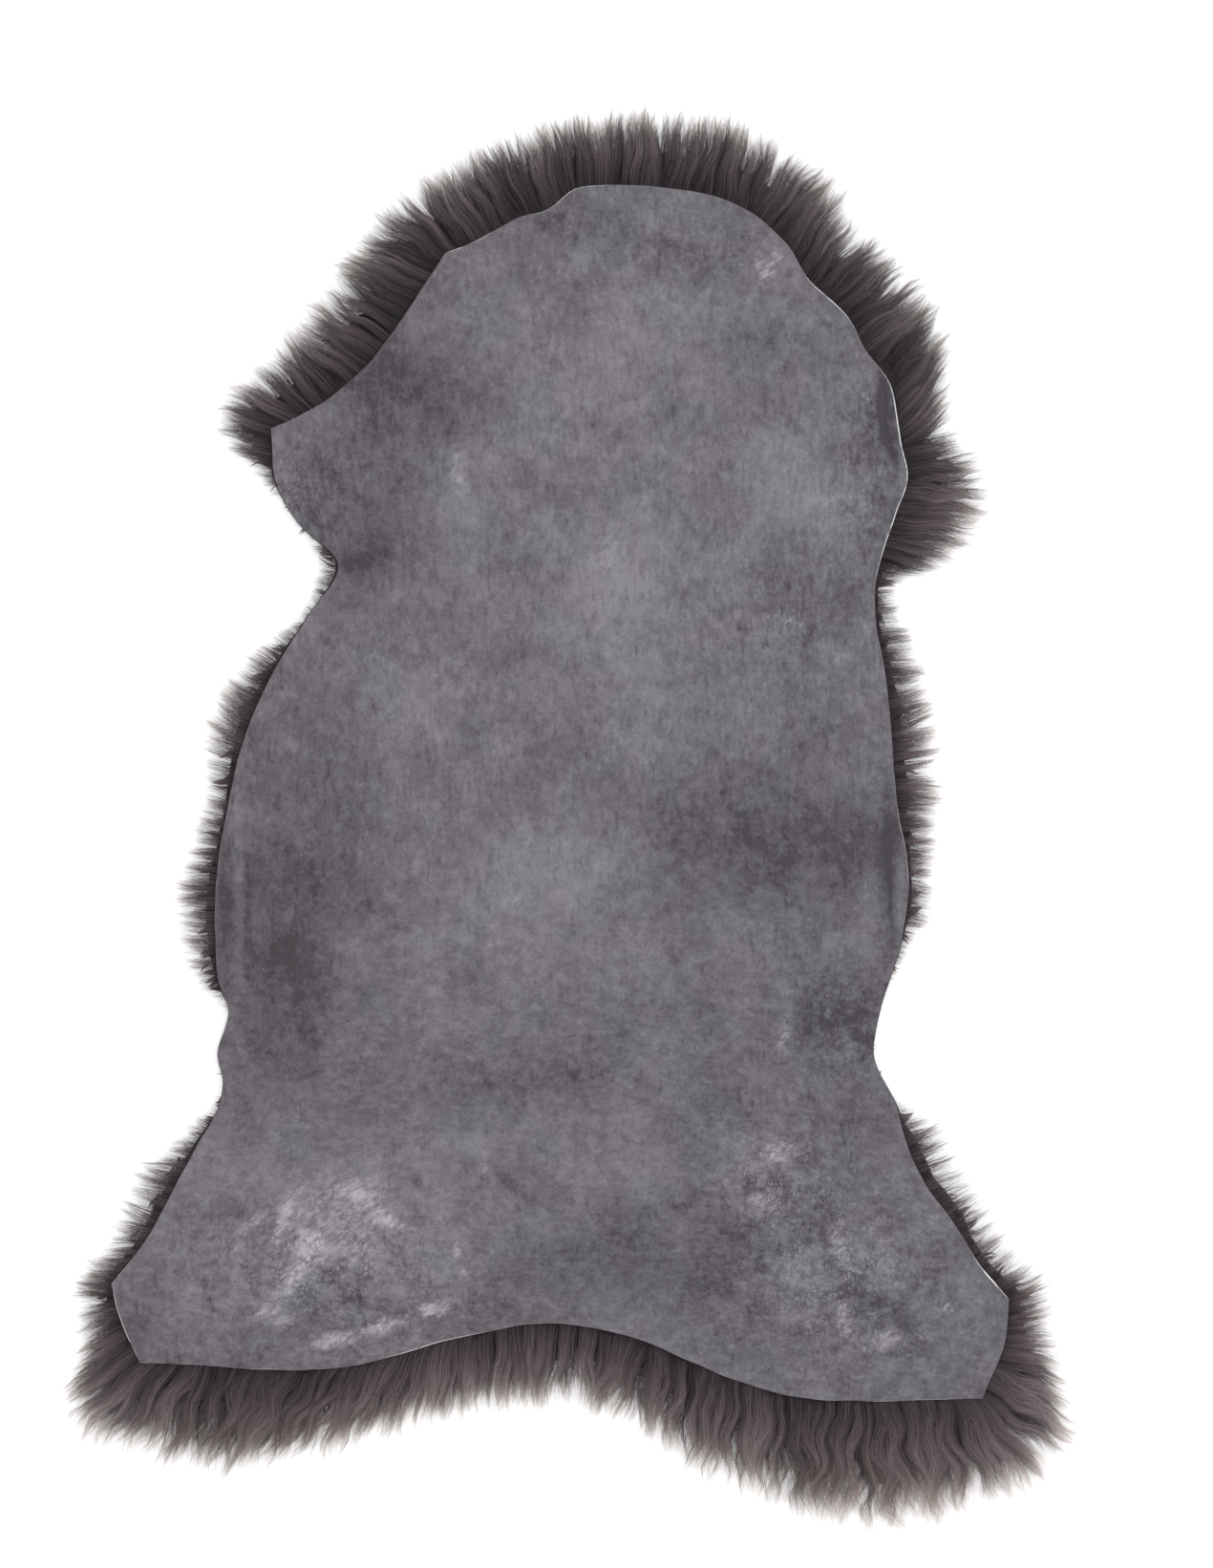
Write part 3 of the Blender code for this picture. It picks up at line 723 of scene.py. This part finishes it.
def wool_material(colours):
    """Combed long wool: painted shade darkens it between the locks and at the roots under the skin's edge;
    sun-faded and paler at the tips.
    """
    material, tree, shader = new_material("combed wool", 0.62, 0.3, sheen=0.1)
    add = partial(add_node, tree)
    marks = add("Attribute", attribute_name="wool", attribute_type="GEOMETRY")["Color"]
    along, bright, bleached = add("SeparateColor", marks)
    length = add("ValToRGB", along, stops=(
        (0.0, colours["root"]), (0.3, colours["mid"]), (0.66, colours["outer"]), (0.94, colours["tip"]),
    ))["Color"]
    bleached = add("Math", bleached, 0.6, **TIMES)[0]
    length = add("Mix", named={0: bleached, 6: length, 7: colours["brown"]}, **COLOUR)[2]
    # The locks' painted light and shade, with their own uneven tone, scale the colour.
    shade = add("Math", bright, 1.3, 0.35, **TIMES_PLUS)[0]
    grey = add("CombineColor", shade, shade, shade)["Color"]
    base = add("Mix", named={0: 1.0, 6: length, 7: grey}, **COLOUR, blend_type="MULTIPLY")[2]
    tree.links.new(base, shader.inputs["Base Color"])
    return material


def packed_wool_material(colours):
    """The wool's dense inside, as seen between the locks: painted near black as the shade there, with a
    fibrous grain.
    """
    material, tree, shader = new_material("packed wool", 0.85, 0.2)
    add = partial(add_node, tree)
    place = add("TexCoord")["Object"]
    fibres = grain(tree, place, 2.2, stretch=(1, 4, 1), detail=4, roughness=0.65)
    clumps = grain(tree, place, 15, detail=3)
    fibres = add("Math", fibres, 0.5, **TIMES)[0]
    tone = add("Math", clumps, 0.6, fibres, **TIMES_PLUS)[0]
    base = add("ValToRGB", tone, stops=((0.3, colours["gap"]), (0.75, colours["root"])))["Color"]
    tree.links.new(base, shader.inputs["Base Color"])
    raise_surface(tree, shader, (tone, 0.8, 3.0))
    return material


def colour_property(name, description, hex_colour):
    return FloatVectorProperty(
        name=name, description=description, default=linear(hex_colour), subtype="COLOR", size=4
    )


class SheepskinSuedeSettings(bpy.types.PropertyGroup):
    thickness: FloatProperty(
        name="Thickness", description="Thickness of the tanned skin", default=2 * MM,
        min=MM, max=4 * MM, subtype="DISTANCE", unit="LENGTH",
    )
    mid: colour_property("Suede", "The suede's usual colour", "#726E74")
    # The dark and pale ends are reached by the dye's patches and also by painted light and shade.
    dark: colour_property("Dark patches", "Where the dye took most", "#4C484D")
    pale: colour_property("Pale patches", "Where the dye took least", "#908C93")
    scuff: colour_property("Scuffs", "Where the nap is rubbed", "#B2AEB4")
    cut: colour_property("Cut edge", "The undyed fibres of the cut", "#F4F5F7")


class SheepskinWoolSettings(bpy.types.PropertyGroup):
    # The roots' darkness is painted shade under the skin's edge.
    root: colour_property("Roots", "Wool beside the skin", "#30292C")
    mid: colour_property("Middle", "Wool halfway out", "#54484C")
    outer: colour_property("Outer", "Wool near its tips", "#766A6C")
    tip: colour_property("Tips", "The faded tips", "#B9ABA5")
    brown: colour_property("Bleached", "Wool that the sun turned brown", "#6E5B50")
    strand_width: FloatProperty(
        name="Strand width", description="Width of one strand of joined fibres", default=0.42 * MM,
        min=0.2 * MM, max=3 * MM, subtype="DISTANCE", unit="LENGTH",
    )
    seed: IntProperty(name="Seed", description="Chooses how the locks fall", default=11, min=0)


def colour_table(settings, names):
    """The named colours of a settings group, for a material."""
    return {name: tuple(getattr(settings, name)) for name in names}


class SHEEPSKIN_OT_hide(bpy.types.Operator):
    """Make the tanned skin as one fine sheet: folds, creases, stains, painted shade and the pale cut edge"""

    bl_idname = "sheepskin.hide"
    bl_label = "Suede hide"

    def execute(self, context):
        settings = context.scene.sheepskin_suede
        along = RIM.stations(0.0, CUT_EDGE_PITCH, keep_corners=True)
        outline = RIM.edge(along)
        ahead = np.roll(outline, -1, axis=0) - np.roll(outline, 1, axis=0)
        ahead /= np.linalg.norm(ahead, axis=1)[:, None]
        outward = np.column_stack((-ahead[:, 1], ahead[:, 0]))
        waver = CUT_WAVER * swell(outline, 30 * MM, 3)
        bevel = CUT_BEVEL + (PALE_BEVEL - CUT_BEVEL) * np.clip(patch_sum(outline, GLINTS), 0, 1)
        upper_outline = outline + outward * (waver - bevel)[:, None]
        inner = lattice(upper_outline, HIDE_PITCH, 0.62 * HIDE_PITCH, lambda p: ~beside_crease(p))
        fine = lattice(upper_outline, CREASE_PITCH, 1.4 * CREASE_PITCH, beside_crease)
        top, triangles = triangulate(upper_outline, np.concatenate((inner, fine)))
        lower_outline = outline + outward * waver[:, None]
        back, back_triangles = triangulate(
            lower_outline, lattice(lower_outline, HIDE_BACK_PITCH, 0.62 * HIDE_BACK_PITCH)
        )
        places = np.concatenate((top, back))
        height = underside_height(places) + fold_height(places, CREASES)
        for size, seed, depth in SWELLS:
            height += depth * swell(places, size, seed)
        height[:len(top)] += settings.thickness
        ring = np.arange(len(outline))
        faces = np.concatenate((triangles, back_triangles[:, ::-1] + len(top)))
        rim_faces = strip(ring, ring + len(top))
        colours = colour_table(settings, ("dark", "mid", "pale", "scuff", "cut"))
        colours["warm"], colours["cool"] = linear("#857F80"), linear("#7C7D85")
        colours["crack"] = linear("#403C41")
        hide = build_object(
            "suede_hide", np.column_stack((places, height)), (faces, rim_faces),
            (suede_material(colours), cut_edge_material(colours)),
        )
        slots = np.zeros(len(faces) + len(rim_faces), np.int32)
        slots[len(faces):] = 1
        hide.data.polygons.foreach_set("material_index", slots)
        hide.data.set_sharp_from_angle(angle=math.radians(50))
        # Painted shade darkens the suede in the creases' troughs, in the first channel together with the
        # clouds.
        crease_shade = CREASE_SHADE * np.minimum(fold_height(places, CREASES) / MM, 0)
        paint(hide, "suede", (
            0.51 + CLOUD_AND_SHADE_TONE * patch_sum(places, DYE_AND_SHADE_CLOUDS) + crease_shade,
            np.clip(patch_sum(places, SCUFFS), 0, 1),
            np.clip(patch_sum(places, WRINKLES), 0, 1),
        ))
        glint = np.clip(patch_sum(places, GLINTS), 0, 1)
        paint(hide, "glint", (glint, glint, glint))
        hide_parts("hide")
        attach(hide, "root")
        return {"FINISHED"}


def lumpy(points, size, seed):
    """A swell that goes from 0 to 1."""
    return 0.5 + 0.5 * np.clip(swell(points, size, seed), -1, 1)


def partings(edge):
    """How far the wool is parted at these points of the edge, from 0 to 1."""
    # Slight partings also lie all along the edge, wherever a slow swell crosses 0.
    slight = 0.4 * np.exp(-(swell(edge, 38 * MM, 51) / 0.1) ** 2)
    return np.clip(patch_sum(edge, PARTINGS) + slight, 0, 1)


def fullness(reach):
    """How dense wool of this reach is, from 0 for the thin fringe of the flanks to 1."""
    return smoothstep((reach - THIN_REACH) / (FULL_REACH - THIN_REACH))


class SHEEPSKIN_OT_fleece(bpy.types.Operator):
    """Make the fleece's dense inside, which backs the hide and shows only between the locks"""

    bl_idname = "sheepskin.fleece"
    bl_label = "Packed wool"

    def execute(self, context):
        along = RIM.stations(EVEN_AT, RIM.length / CORE_STATIONS)
        edge, out, rise = RIM.edge(along), RIM.tip(along) - RIM.edge(along), RIM.rise(along)
        out *= 0.3 + 0.7 * fullness(np.linalg.norm(out, axis=1))[:, None]
        count = len(along)
        ring = np.arange(count)
        points, triangles = triangulate(edge, lattice(edge, CORE_PITCH, 0.55 * CORE_PITCH))
        top = underside_height(points) + np.minimum(fold_height(points, CREASES), 0)
        verts = [np.column_stack((points, top - SWELL_DEPTH - HIDE_CLEARANCE))]
        face_sets = [triangles]
        rings = [ring]
        total = len(points)
        lump = lumpy(np.column_stack((along, along * 0)), 22 * MM, 8)
        crown = (rise - HIDE_CLEARANCE) * (0.7 + 0.12 * lump) * (1 - 0.3 * partings(edge))
        for share in CORE_SHARES:
            height = crown * (1 - 0.35 * share)
            if share == CORE_SHARES[-1]:
                height *= 0.55
            verts.append(np.column_stack((edge + out * share * (0.9 + 0.2 * lump)[:, None], height)))
            rings.append(ring + total)
            total += count
        foot = edge + out * CORE_FOOT_SHARE
        base = np.minimum(CORE_UNDERSIDE, 0.35 * rise)
        under_points, under_triangles = triangulate(
            foot, lattice(foot, 1.2 * CORE_PITCH, 0.6 * CORE_PITCH)
        )
        below = np.minimum(CORE_UNDERSIDE, 0.35 * underside_height(under_points))
        below[:count] = base
        below[count:] *= 0.75 + 0.5 * lumpy(under_points[count:], 40 * MM, 9)
        verts.append(np.column_stack((under_points, below)))
        face_sets.append(under_triangles[:, ::-1] + total)
        rings.append(ring + total)
        quads = np.concatenate([strip(a, b) for a, b in zip(rings, rings[1:])])
        colours = colour_table(context.scene.sheepskin_wool, ("root",))
        # Its near black is painted shade, deep between the locks.
        colours["gap"] = linear("#1E1A1C")
        core = build_object(
            "fleece_inside", np.concatenate(verts), (*face_sets, quads), (packed_wool_material(colours),)
        )
        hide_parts("fleece")
        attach(core, "root")
        return {"FINISHED"}


Strands = namedtuple("Strands", "spine side width along bright brown")


def ribbons(name, strands, material):
    """One mesh of flat strands that taper to a point. spine and side are (strands, points, 3) arrays."""
    spine, side, width = strands.spine, strands.side, strands.width[:, :, None] / 2
    count, points = spine.shape[:2]
    body = np.stack((spine - side * width, spine + side * width), axis=2)[:, :-1]
    verts = np.concatenate((body.reshape(count, -1, 3), spine[:, -1:]), axis=1)
    each = verts.shape[1]
    base = np.arange(count)[:, None, None] * each
    links = np.array([(2 * k, 2 * k + 1, 2 * k + 3, 2 * k + 2) for k in range(points - 2)])
    quads = (base + links[None]).reshape(-1, 4)
    tips = (base + np.array([[(each - 3, each - 2, each - 1)]])).reshape(-1, 3)
    obj = build_object(name, verts.reshape(-1, 3), (quads, tips), (material,))

    def to_verts(values):
        return np.concatenate((np.repeat(values[:, :-1], 2, axis=1), values[:, -1:]), axis=1).ravel()

    along, bright, brown = to_verts(strands.along), to_verts(strands.bright), to_verts(strands.brown)
    paint(obj, "wool", (along, bright, brown))
    lay_map(obj, 0.02 + 0.46 * bright + 0.5 * brown, 0.02 + 0.96 * along)
    return obj


def lay_strands(places, heading, run, across, z, roll):
    """The spine of each strand from its place along its heading, and the way its flat side faces."""
    forward = np.stack((np.cos(heading), np.sin(heading)), axis=1)[:, None, :]
    leftward = np.stack((-np.sin(heading), np.cos(heading)), axis=1)[:, None, :]
    plan = places[:, None, :] + forward * run[:, :, None] + leftward * across[:, :, None]
    side = np.concatenate((
        np.broadcast_to(leftward, plan.shape) * np.cos(roll)[:, None, None],
        np.broadcast_to(np.sin(roll)[:, None, None], (*plan.shape[:2], 1)),
    ), axis=2)
    return np.concatenate((plan, z[:, :, None]), axis=2), side


def comb_layer(layer, strand_width, rng):
    """The strands of one layer of locks all round the rim, and each strand's distance along the edge."""
    along = RIM.stations(EVEN_AT, layer.spacing * MM)
    along = along + rng.uniform(-0.5, 0.5, len(along)) * layer.spacing * MM
    edge, out, rise = RIM.edge(along), RIM.tip(along) - RIM.edge(along), RIM.rise(along)
    reach = np.linalg.norm(out, axis=1)
    heading = np.arctan2(out[:, 1], out[:, 0])
    locks = len(along)
    full, ease = fullness(reach), np.minimum(reach / SLACK_REACH, 1.4)
    # Neighbouring locks lean and bend together, as the comb left them, and each strays a little.
    flow, bow = swell(edge, 60 * MM, 21), swell(edge, 45 * MM, 22 + round(10 * layer.level))
    heading += np.radians(layer.lean) * (0.7 * flow + rng.normal(0, 0.35, locks))
    bend = ease**2 * BEND * (0.8 * bow + rng.normal(0, 0.45, locks))
    wave = ease**3 * layer.wave * MM * rng.uniform(0.3, 1.0, locks)
    wave_step = math.tau / (WAVE_LENGTH * rng.uniform(0.9, 1.3, locks))
    phase = 2.5 * swell(edge, 90 * MM, 31) + rng.uniform(0, 1.4, locks)
    # Where the wool is parted right through, it lies lower so that the fleece's inside shows, and its
    # locks are painted darker, as the shade in the parting.
    parting = partings(edge)
    deep = parting**4
    level = layer.level * (1 - 0.2 * parting - 0.3 * deep) + rng.uniform(-0.10, 0.08, locks)
    wide = layer.width * MM * rng.uniform(0.8, 1.5, locks)
    narrow = wide * rng.uniform(0.5, 1.0, locks)
    # A thin fringe is uneven, with longer tufts here and there.
    uneven = 0.04 + 0.36 * (1 - full)
    longer = layer.fill * (1 + uneven * swell(edge, 26 * MM, 41) + rng.uniform(-0.05, 0.05, locks))
    # The wool is darker towards the neck and paler behind.
    lock_tone_and_shade = rng.uniform(-1, 1, locks) - 1.4 * parting - deep - 1.5 * smoothstep(edge[:, 1] / 0.4)
    lock_tone_and_shade += 0.45 * smoothstep(edge[:, 1] / -0.4)
    sparse = patch_sum(edge, SPARSE)

    # A thin fringe is made of more strands, each of them finer.
    per_lock = layer.strands * (1 - sparse + 0.2 * (1 - full)) * (reach + ROOT_DEPTH) / MM
    per_lock = np.round(per_lock * smoothstep((reach - BARE_REACH) / EASE_REACH)).astype(int)
    lock = np.repeat(np.arange(locks), per_lock)
    count = len(lock)
    # A lock splits into wisps of their own length and tone, and a wisp's strands draw together to its tip.
    wisp = lock * WISPS + rng.integers(0, WISPS, count)
    wisps = locks * WISPS
    wisp_side = np.tile(np.linspace(-0.8, 0.8, WISPS), locks) + rng.uniform(-0.2, 0.2, wisps)
    wisp_length, wisp_tone = rng.normal(0, 1, wisps), rng.uniform(-1, 1, wisps)
    wisp_drift = rng.normal(0, 1, wisps)
    own_side = rng.uniform(-0.45, 0.45, count)
    # Each lock is a rounded bundle: its strands lie lower towards its sides.
    sideways = wisp_side[wisp] + own_side
    upward = rng.uniform(-1, 1, count) * np.sqrt(np.clip(1 - 0.8 * sideways**2, 0, 1))
    loose = rng.random(count) < LOOSE_SHARE + 0.2 * (1 - full[lock])
    usual, spread = 0.65 + 0.27 * full[lock] - sparse[lock], 0.4 - 0.28 * full[lock]
    length = (usual + spread * wisp_length[wisp]) * rng.uniform(0.7, 1.04, count) * longer[lock]
    length = np.where(loose, rng.uniform(0.7, 1.25, count), np.clip(length, 0.15, 1.2)) * reach[lock]
    stray = 5.0 * rng.normal(0, 1, count)
    together = 1.8 * wisp_drift[wisp] + 0.6 * rng.normal(0, 1, count)
    drift = np.where(loose, stray, together) * MM * ease[lock]
    own_wave = np.where(loose, 0.8, 0.3) * MM * rng.uniform(0.4, 1.0, count)
    own_step = math.tau / (rng.uniform(16, 30, count) * MM)
    own_phase = rng.uniform(0, math.tau, count)

    s = np.linspace(0, 1, STRAND_POINTS)[None, :] ** 0.92
    start = -ROOT_DEPTH * rng.uniform(0.5, 1.0, count)[:, None]
    run = start + s * length[:, None] - s * start
    share = np.clip(run / np.maximum(reach[lock], 6 * MM)[:, None], 0, 1.25)
    closing = smoothstep(share / 1.05)
    half = (wide[lock, None] * (1 - closing) + narrow[lock, None] * closing) / 2
    drawn = np.where(loose, 0.1, 0.2 + 0.22 * full[lock])[:, None]
    drawn = drawn * np.clip(run / np.maximum(length, MM)[:, None], 0, 1) ** 2
    across = (wisp_side[wisp, None] + own_side[:, None] * (1 - drawn)) * half
    fade = np.clip(run / (22 * MM), 0, 1)
    across += fade * wave[lock, None] * np.sin(run * wave_step[lock, None] + phase[lock, None])
    across += fade * own_wave[:, None] * np.sin(run * own_step[:, None] + own_phase[:, None])
    across += (bend[lock, None] + drift[:, None]) * share**2

    ceiling = rise[lock][:, None]
    z = ceiling * level[lock, None] * (1 - DROOP * np.clip(share, 0, 1) ** DROOP_POWER)
    z += upward[:, None] * LOCK_ROUND * (1 - 0.6 * np.clip(share, 0, 1)) * np.minimum(ceiling / (20 * MM), 1)
    z += layer.level * LOCK_ARCH * np.sin(math.pi * np.clip(share, 0, 1))
    under_hide = smoothstep((3 * MM - run) / (5 * MM))
    z -= under_hide * np.maximum(z - (ceiling - 1.6 * MM), 0)
    z = np.maximum(z, (0.5 + 1.6 * rng.random(count)[:, None] * (0.4 + 0.6 * level[lock, None])) * MM)

    spine, side = lay_strands(edge[lock], heading[lock], run, across, z, rng.uniform(-1.1, 1.1, count))
    slim = np.where(loose, 0.52, 1.0) * rng.uniform(0.65, 1.2, count) * (0.55 + 0.45 * full[lock])
    width = strand_width * slim[:, None] * (1 - 0.82 * s**1.6)
    # Painted light and shade: the lower layers and the sides of each lock are darker and the strands high in a
    # lock lighter, over the wool's own uneven tone.
    bright = 0.06 + 0.6 * level[lock] + 0.1 * upward + 0.2 * lock_tone_and_shade[lock]
    # The longest wool is parted deepest, so its wisps differ most.
    bright += 0.21 * ease[lock] ** 2 * wisp_tone[wisp] + 0.1 * rng.uniform(-1, 1, count)
    bright += 0.1 - 0.28 * np.abs(sideways) ** 1.5
    bright = np.broadcast_to(np.clip(bright, 0, 1)[:, None], share.shape)
    brown = rng.random(count) < patch_sum(spine[:, -1, :2], BLEACHED)
    brown = brown[:, None] * np.clip(1.5 * share - 0.35, 0, 1)
    # Each strand pales to its own tip, and the fleece as a whole pales outwards, from the painted shade under
    # the skin's edge to its sun-faded tips.
    faded = np.clip(0.65 * share + 0.35 * s**2, 0, 1)
    return Strands(spine, side, width, faded, bright, brown), along[lock] % RIM.length


class SHEEPSKIN_OT_rim_wool(bpy.types.Operator):
    """Comb the long wool out from under the cut edge in locks, in one piece for each stretch of the edge"""

    bl_idname = "sheepskin.rim_wool"
    bl_label = "Combed wool"

    def execute(self, context):
        settings = context.scene.sheepskin_wool
        rng = np.random.default_rng(settings.seed)
        combed = [comb_layer(layer, settings.strand_width, rng) for layer in LAYERS]
        strands = Strands(*(np.concatenate(parts) for parts in zip(*(made for made, _ in combed))))
        along = np.concatenate([where for _, where in combed])
        stretch = np.searchsorted(RIM.stretch_starts, along, side="right") - 1
        material = combed_wool(settings)
        for number, name in enumerate(STRETCHES):
            chosen = stretch == number
            piece = ribbons(f"wool_{name}", Strands(*(part[chosen] for part in strands)), material)
            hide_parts("fleece")
            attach(piece, "root")
        return {"FINISHED"}


def combed_wool(settings):
    """The material of all the combed wool, made on its first use."""
    colours = colour_table(settings, ("root", "mid", "outer", "tip", "brown"))
    return bpy.data.materials.get("combed wool") or wool_material(colours)


class SHEEPSKIN_OT_under_wool(bpy.types.Operator):
    """Lay the flattened locks of the wool that the skin rests on, overlapping outwards from its middle"""

    bl_idname = "sheepskin.under_wool"
    bl_label = "Underside wool"

    def execute(self, context):
        settings = context.scene.sheepskin_wool
        rng = np.random.default_rng(settings.seed + 1)
        along = RIM.stations(EVEN_AT, 12 * MM)
        edge, out = RIM.edge(along), RIM.tip(along) - RIM.edge(along)
        places = lattice(edge + 0.3 * out, TUFT_PITCH, 0.3 * TUFT_PITCH)
        places = places + rng.uniform(-0.3, 0.3, places.shape) * TUFT_PITCH
        off = np.linalg.norm(places[:, None, :] - edge[None, :, :], axis=2)
        reach = np.linalg.norm(out, axis=1)
        ways = out / reach[:, None]
        near = off.argmin(1)
        # How far a tuft can run before it would show past the wool at the edge.
        inside = np.sign(((edge[near] - places) * ways[near]).sum(1)) * off.min(1)
        free = inside + 0.55 * reach[near]
        kept = free > 8 * MM
        places, off, free = places[kept], off[kept], free[kept]
        weight = 1 / np.maximum(off, 5 * MM) ** 2
        way = (weight[:, :, None] * ways[None]).sum(1) / weight.sum(1)[:, None]
        # In the middle the wool lies towards the tail, in slow swirls, and it turns outwards at the edge.
        way += np.column_stack((
            0.2 * swell(places, 150 * MM, 61),
            0.15 * swell(places, 150 * MM, 62) - 0.3,
        ))
        heading = np.arctan2(way[:, 1], way[:, 0]) + rng.normal(0, 0.35, len(places))
        # Wool near a low edge is shorter, so that it stays under it.
        room = np.clip(underside_height(places) / (24 * MM), 0.3, 1)

        tuft = np.repeat(np.arange(len(places)), TUFT_STRANDS)
        count = len(tuft)
        spread = rng.uniform(-1, 1, count)[:, None]
        s = np.linspace(0, 1, STRAND_POINTS)[None, :]
        length = rng.uniform(0.7, 1.1, count) * np.minimum(TUFT_LENGTH, free[tuft])
        run = s * length[:, None]
        phase = rng.uniform(0, math.tau, len(places))[tuft][:, None]
        wave = TUFT_WAVE * np.sin(run / TUFT_WAVE_LENGTH * math.tau + phase) * s
        across = spread * 7 * MM * (1 - 0.75 * s) + wave
        top = TUFT_HEIGHT * room[tuft][:, None]
        raised = rng.uniform(0, 1.6 * MM, count)[:, None] * room[tuft][:, None]
        z = top * (1 - s) ** 1.5 + 0.5 * MM + raised
        roll = rng.uniform(-0.7, 0.7, count)
        spine, side = lay_strands(places[tuft], heading[tuft], run, across, z, roll)
        width = TUFT_STRAND_WIDTH * rng.uniform(0.7, 1.2, count)[:, None] * (1 - 0.7 * s**1.5)
        bright = 0.35 + 0.22 * rng.uniform(-1, 1, len(places))[tuft] + 0.16 * rng.uniform(-1, 1, count)
        bright = np.broadcast_to(bright[:, None], run.shape)
        strands = Strands(spine, side, width, np.broadcast_to(s, run.shape), bright, np.zeros(run.shape))
        material = combed_wool(settings)
        piece = ribbons("wool_underside", strands, material)
        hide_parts("fleece")
        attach(piece, "root")
        return {"FINISHED"}


# One soft light: where it is, how wide its panel is, in metres, and its power in watts.
Panel = namedtuple("Panel", "name x y z size power")
PANELS = (
    Panel("overhead", 0.2, 0.3, 4.6, 1.8, 95),
    Panel("key", 2.0, 1.4, 2.7, 1.6, 42),
    Panel("fill", -2.0, -0.6, 2.7, 2.2, 16),
)


class SHEEPSKIN_OT_stage(bpy.types.Operator):
    """Set the pale floor, the soft lights and the camera that looks straight down"""

    bl_idname = "sheepskin.stage"
    bl_label = "Stage"

    def execute(self, context):
        scene = context.scene
        side = 6.0
        corners = np.array([(-side, -side, 0), (side, -side, 0), (side, side, 0), (-side, side, 0)])
        material, _, shader = new_material("matt white paper", 0.9, 0.1)
        shader.inputs["Base Color"].default_value = linear("#F6F6F6")
        # The photo's ground has no shadow on it, as on a table that is also lit from below.
        shader.inputs["Emission Color"].default_value = linear("#FFFFFF")
        shader.inputs["Emission Strength"].default_value = 0.25
        floor = build_object("floor", corners, (np.array([(0, 1, 2, 3)]),), (material,))
        floor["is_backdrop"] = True

        world = bpy.data.worlds.new("studio")
        world.use_nodes = True
        backdrop = world.node_tree.nodes["Background"]
        backdrop.inputs["Color"].default_value = (1, 1, 1, 1)
        backdrop.inputs["Strength"].default_value = 0.42
        scene.world = world
        for panel in PANELS:
            light = bpy.data.lights.new(panel.name, "AREA")
            light.energy, light.size = panel.power, panel.size
            lamp = bpy.data.objects.new(panel.name, light)
            lamp.location = (panel.x, panel.y, panel.z)
            lamp.rotation_euler = (-Vector(lamp.location)).to_track_quat("-Z", "Y").to_euler()
            scene.collection.objects.link(lamp)

        lens = bpy.data.cameras.new("above")
        lens.sensor_width = SENSOR
        lens.lens = SENSOR * CAMERA_HEIGHT / VIEW_TALL
        camera = bpy.data.objects.new("above", lens)
        camera.location = (*CAMERA_CENTRE, CAMERA_HEIGHT + BODY_RISE / 2)
        scene.collection.objects.link(camera)
        scene.camera = camera
        scene.view_settings.view_transform = "Standard"
        return {"FINISHED"}


class SHEEPSKIN_PT_panel(bpy.types.Panel):
    """Lists the sheepskin's settings and pieces in the sidebar"""

    bl_label = "Sheepskin"
    bl_idname = "SHEEPSKIN_PT_panel"
    bl_space_type = "VIEW_3D"
    bl_region_type = "UI"
    bl_category = "Sheepskin"

    def draw(self, context):
        layout = self.layout
        for settings in (context.scene.sheepskin_suede, context.scene.sheepskin_wool):
            for name in settings.__annotations__:
                layout.prop(settings, name)
        for operator in OPERATORS:
            layout.operator(operator.bl_idname)


SETTINGS = {"sheepskin_suede": SheepskinSuedeSettings, "sheepskin_wool": SheepskinWoolSettings}
OPERATORS = (
    SHEEPSKIN_OT_hide, SHEEPSKIN_OT_fleece, SHEEPSKIN_OT_rim_wool, SHEEPSKIN_OT_under_wool,
    SHEEPSKIN_OT_stage,
)


def register():
    for cls in (*SETTINGS.values(), *OPERATORS, SHEEPSKIN_PT_panel):
        bpy.utils.register_class(cls)
    for name, cls in SETTINGS.items():
        setattr(bpy.types.Scene, name, PointerProperty(type=cls))


def unregister():
    for name in SETTINGS:
        delattr(bpy.types.Scene, name)
    for cls in (SHEEPSKIN_PT_panel, *reversed(OPERATORS), *SETTINGS.values()):
        bpy.utils.unregister_class(cls)


def main():
    register()
    bpy.ops.sheepskin.hide()
    bpy.ops.sheepskin.fleece()
    bpy.ops.sheepskin.rim_wool()
    bpy.ops.sheepskin.under_wool()
    bpy.ops.sheepskin.stage()
    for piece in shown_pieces():
        print(piece.name, sum(len(p.vertices) - 2 for p in piece.data.polygons), "triangles")


if __name__ == "__main__":
    main()
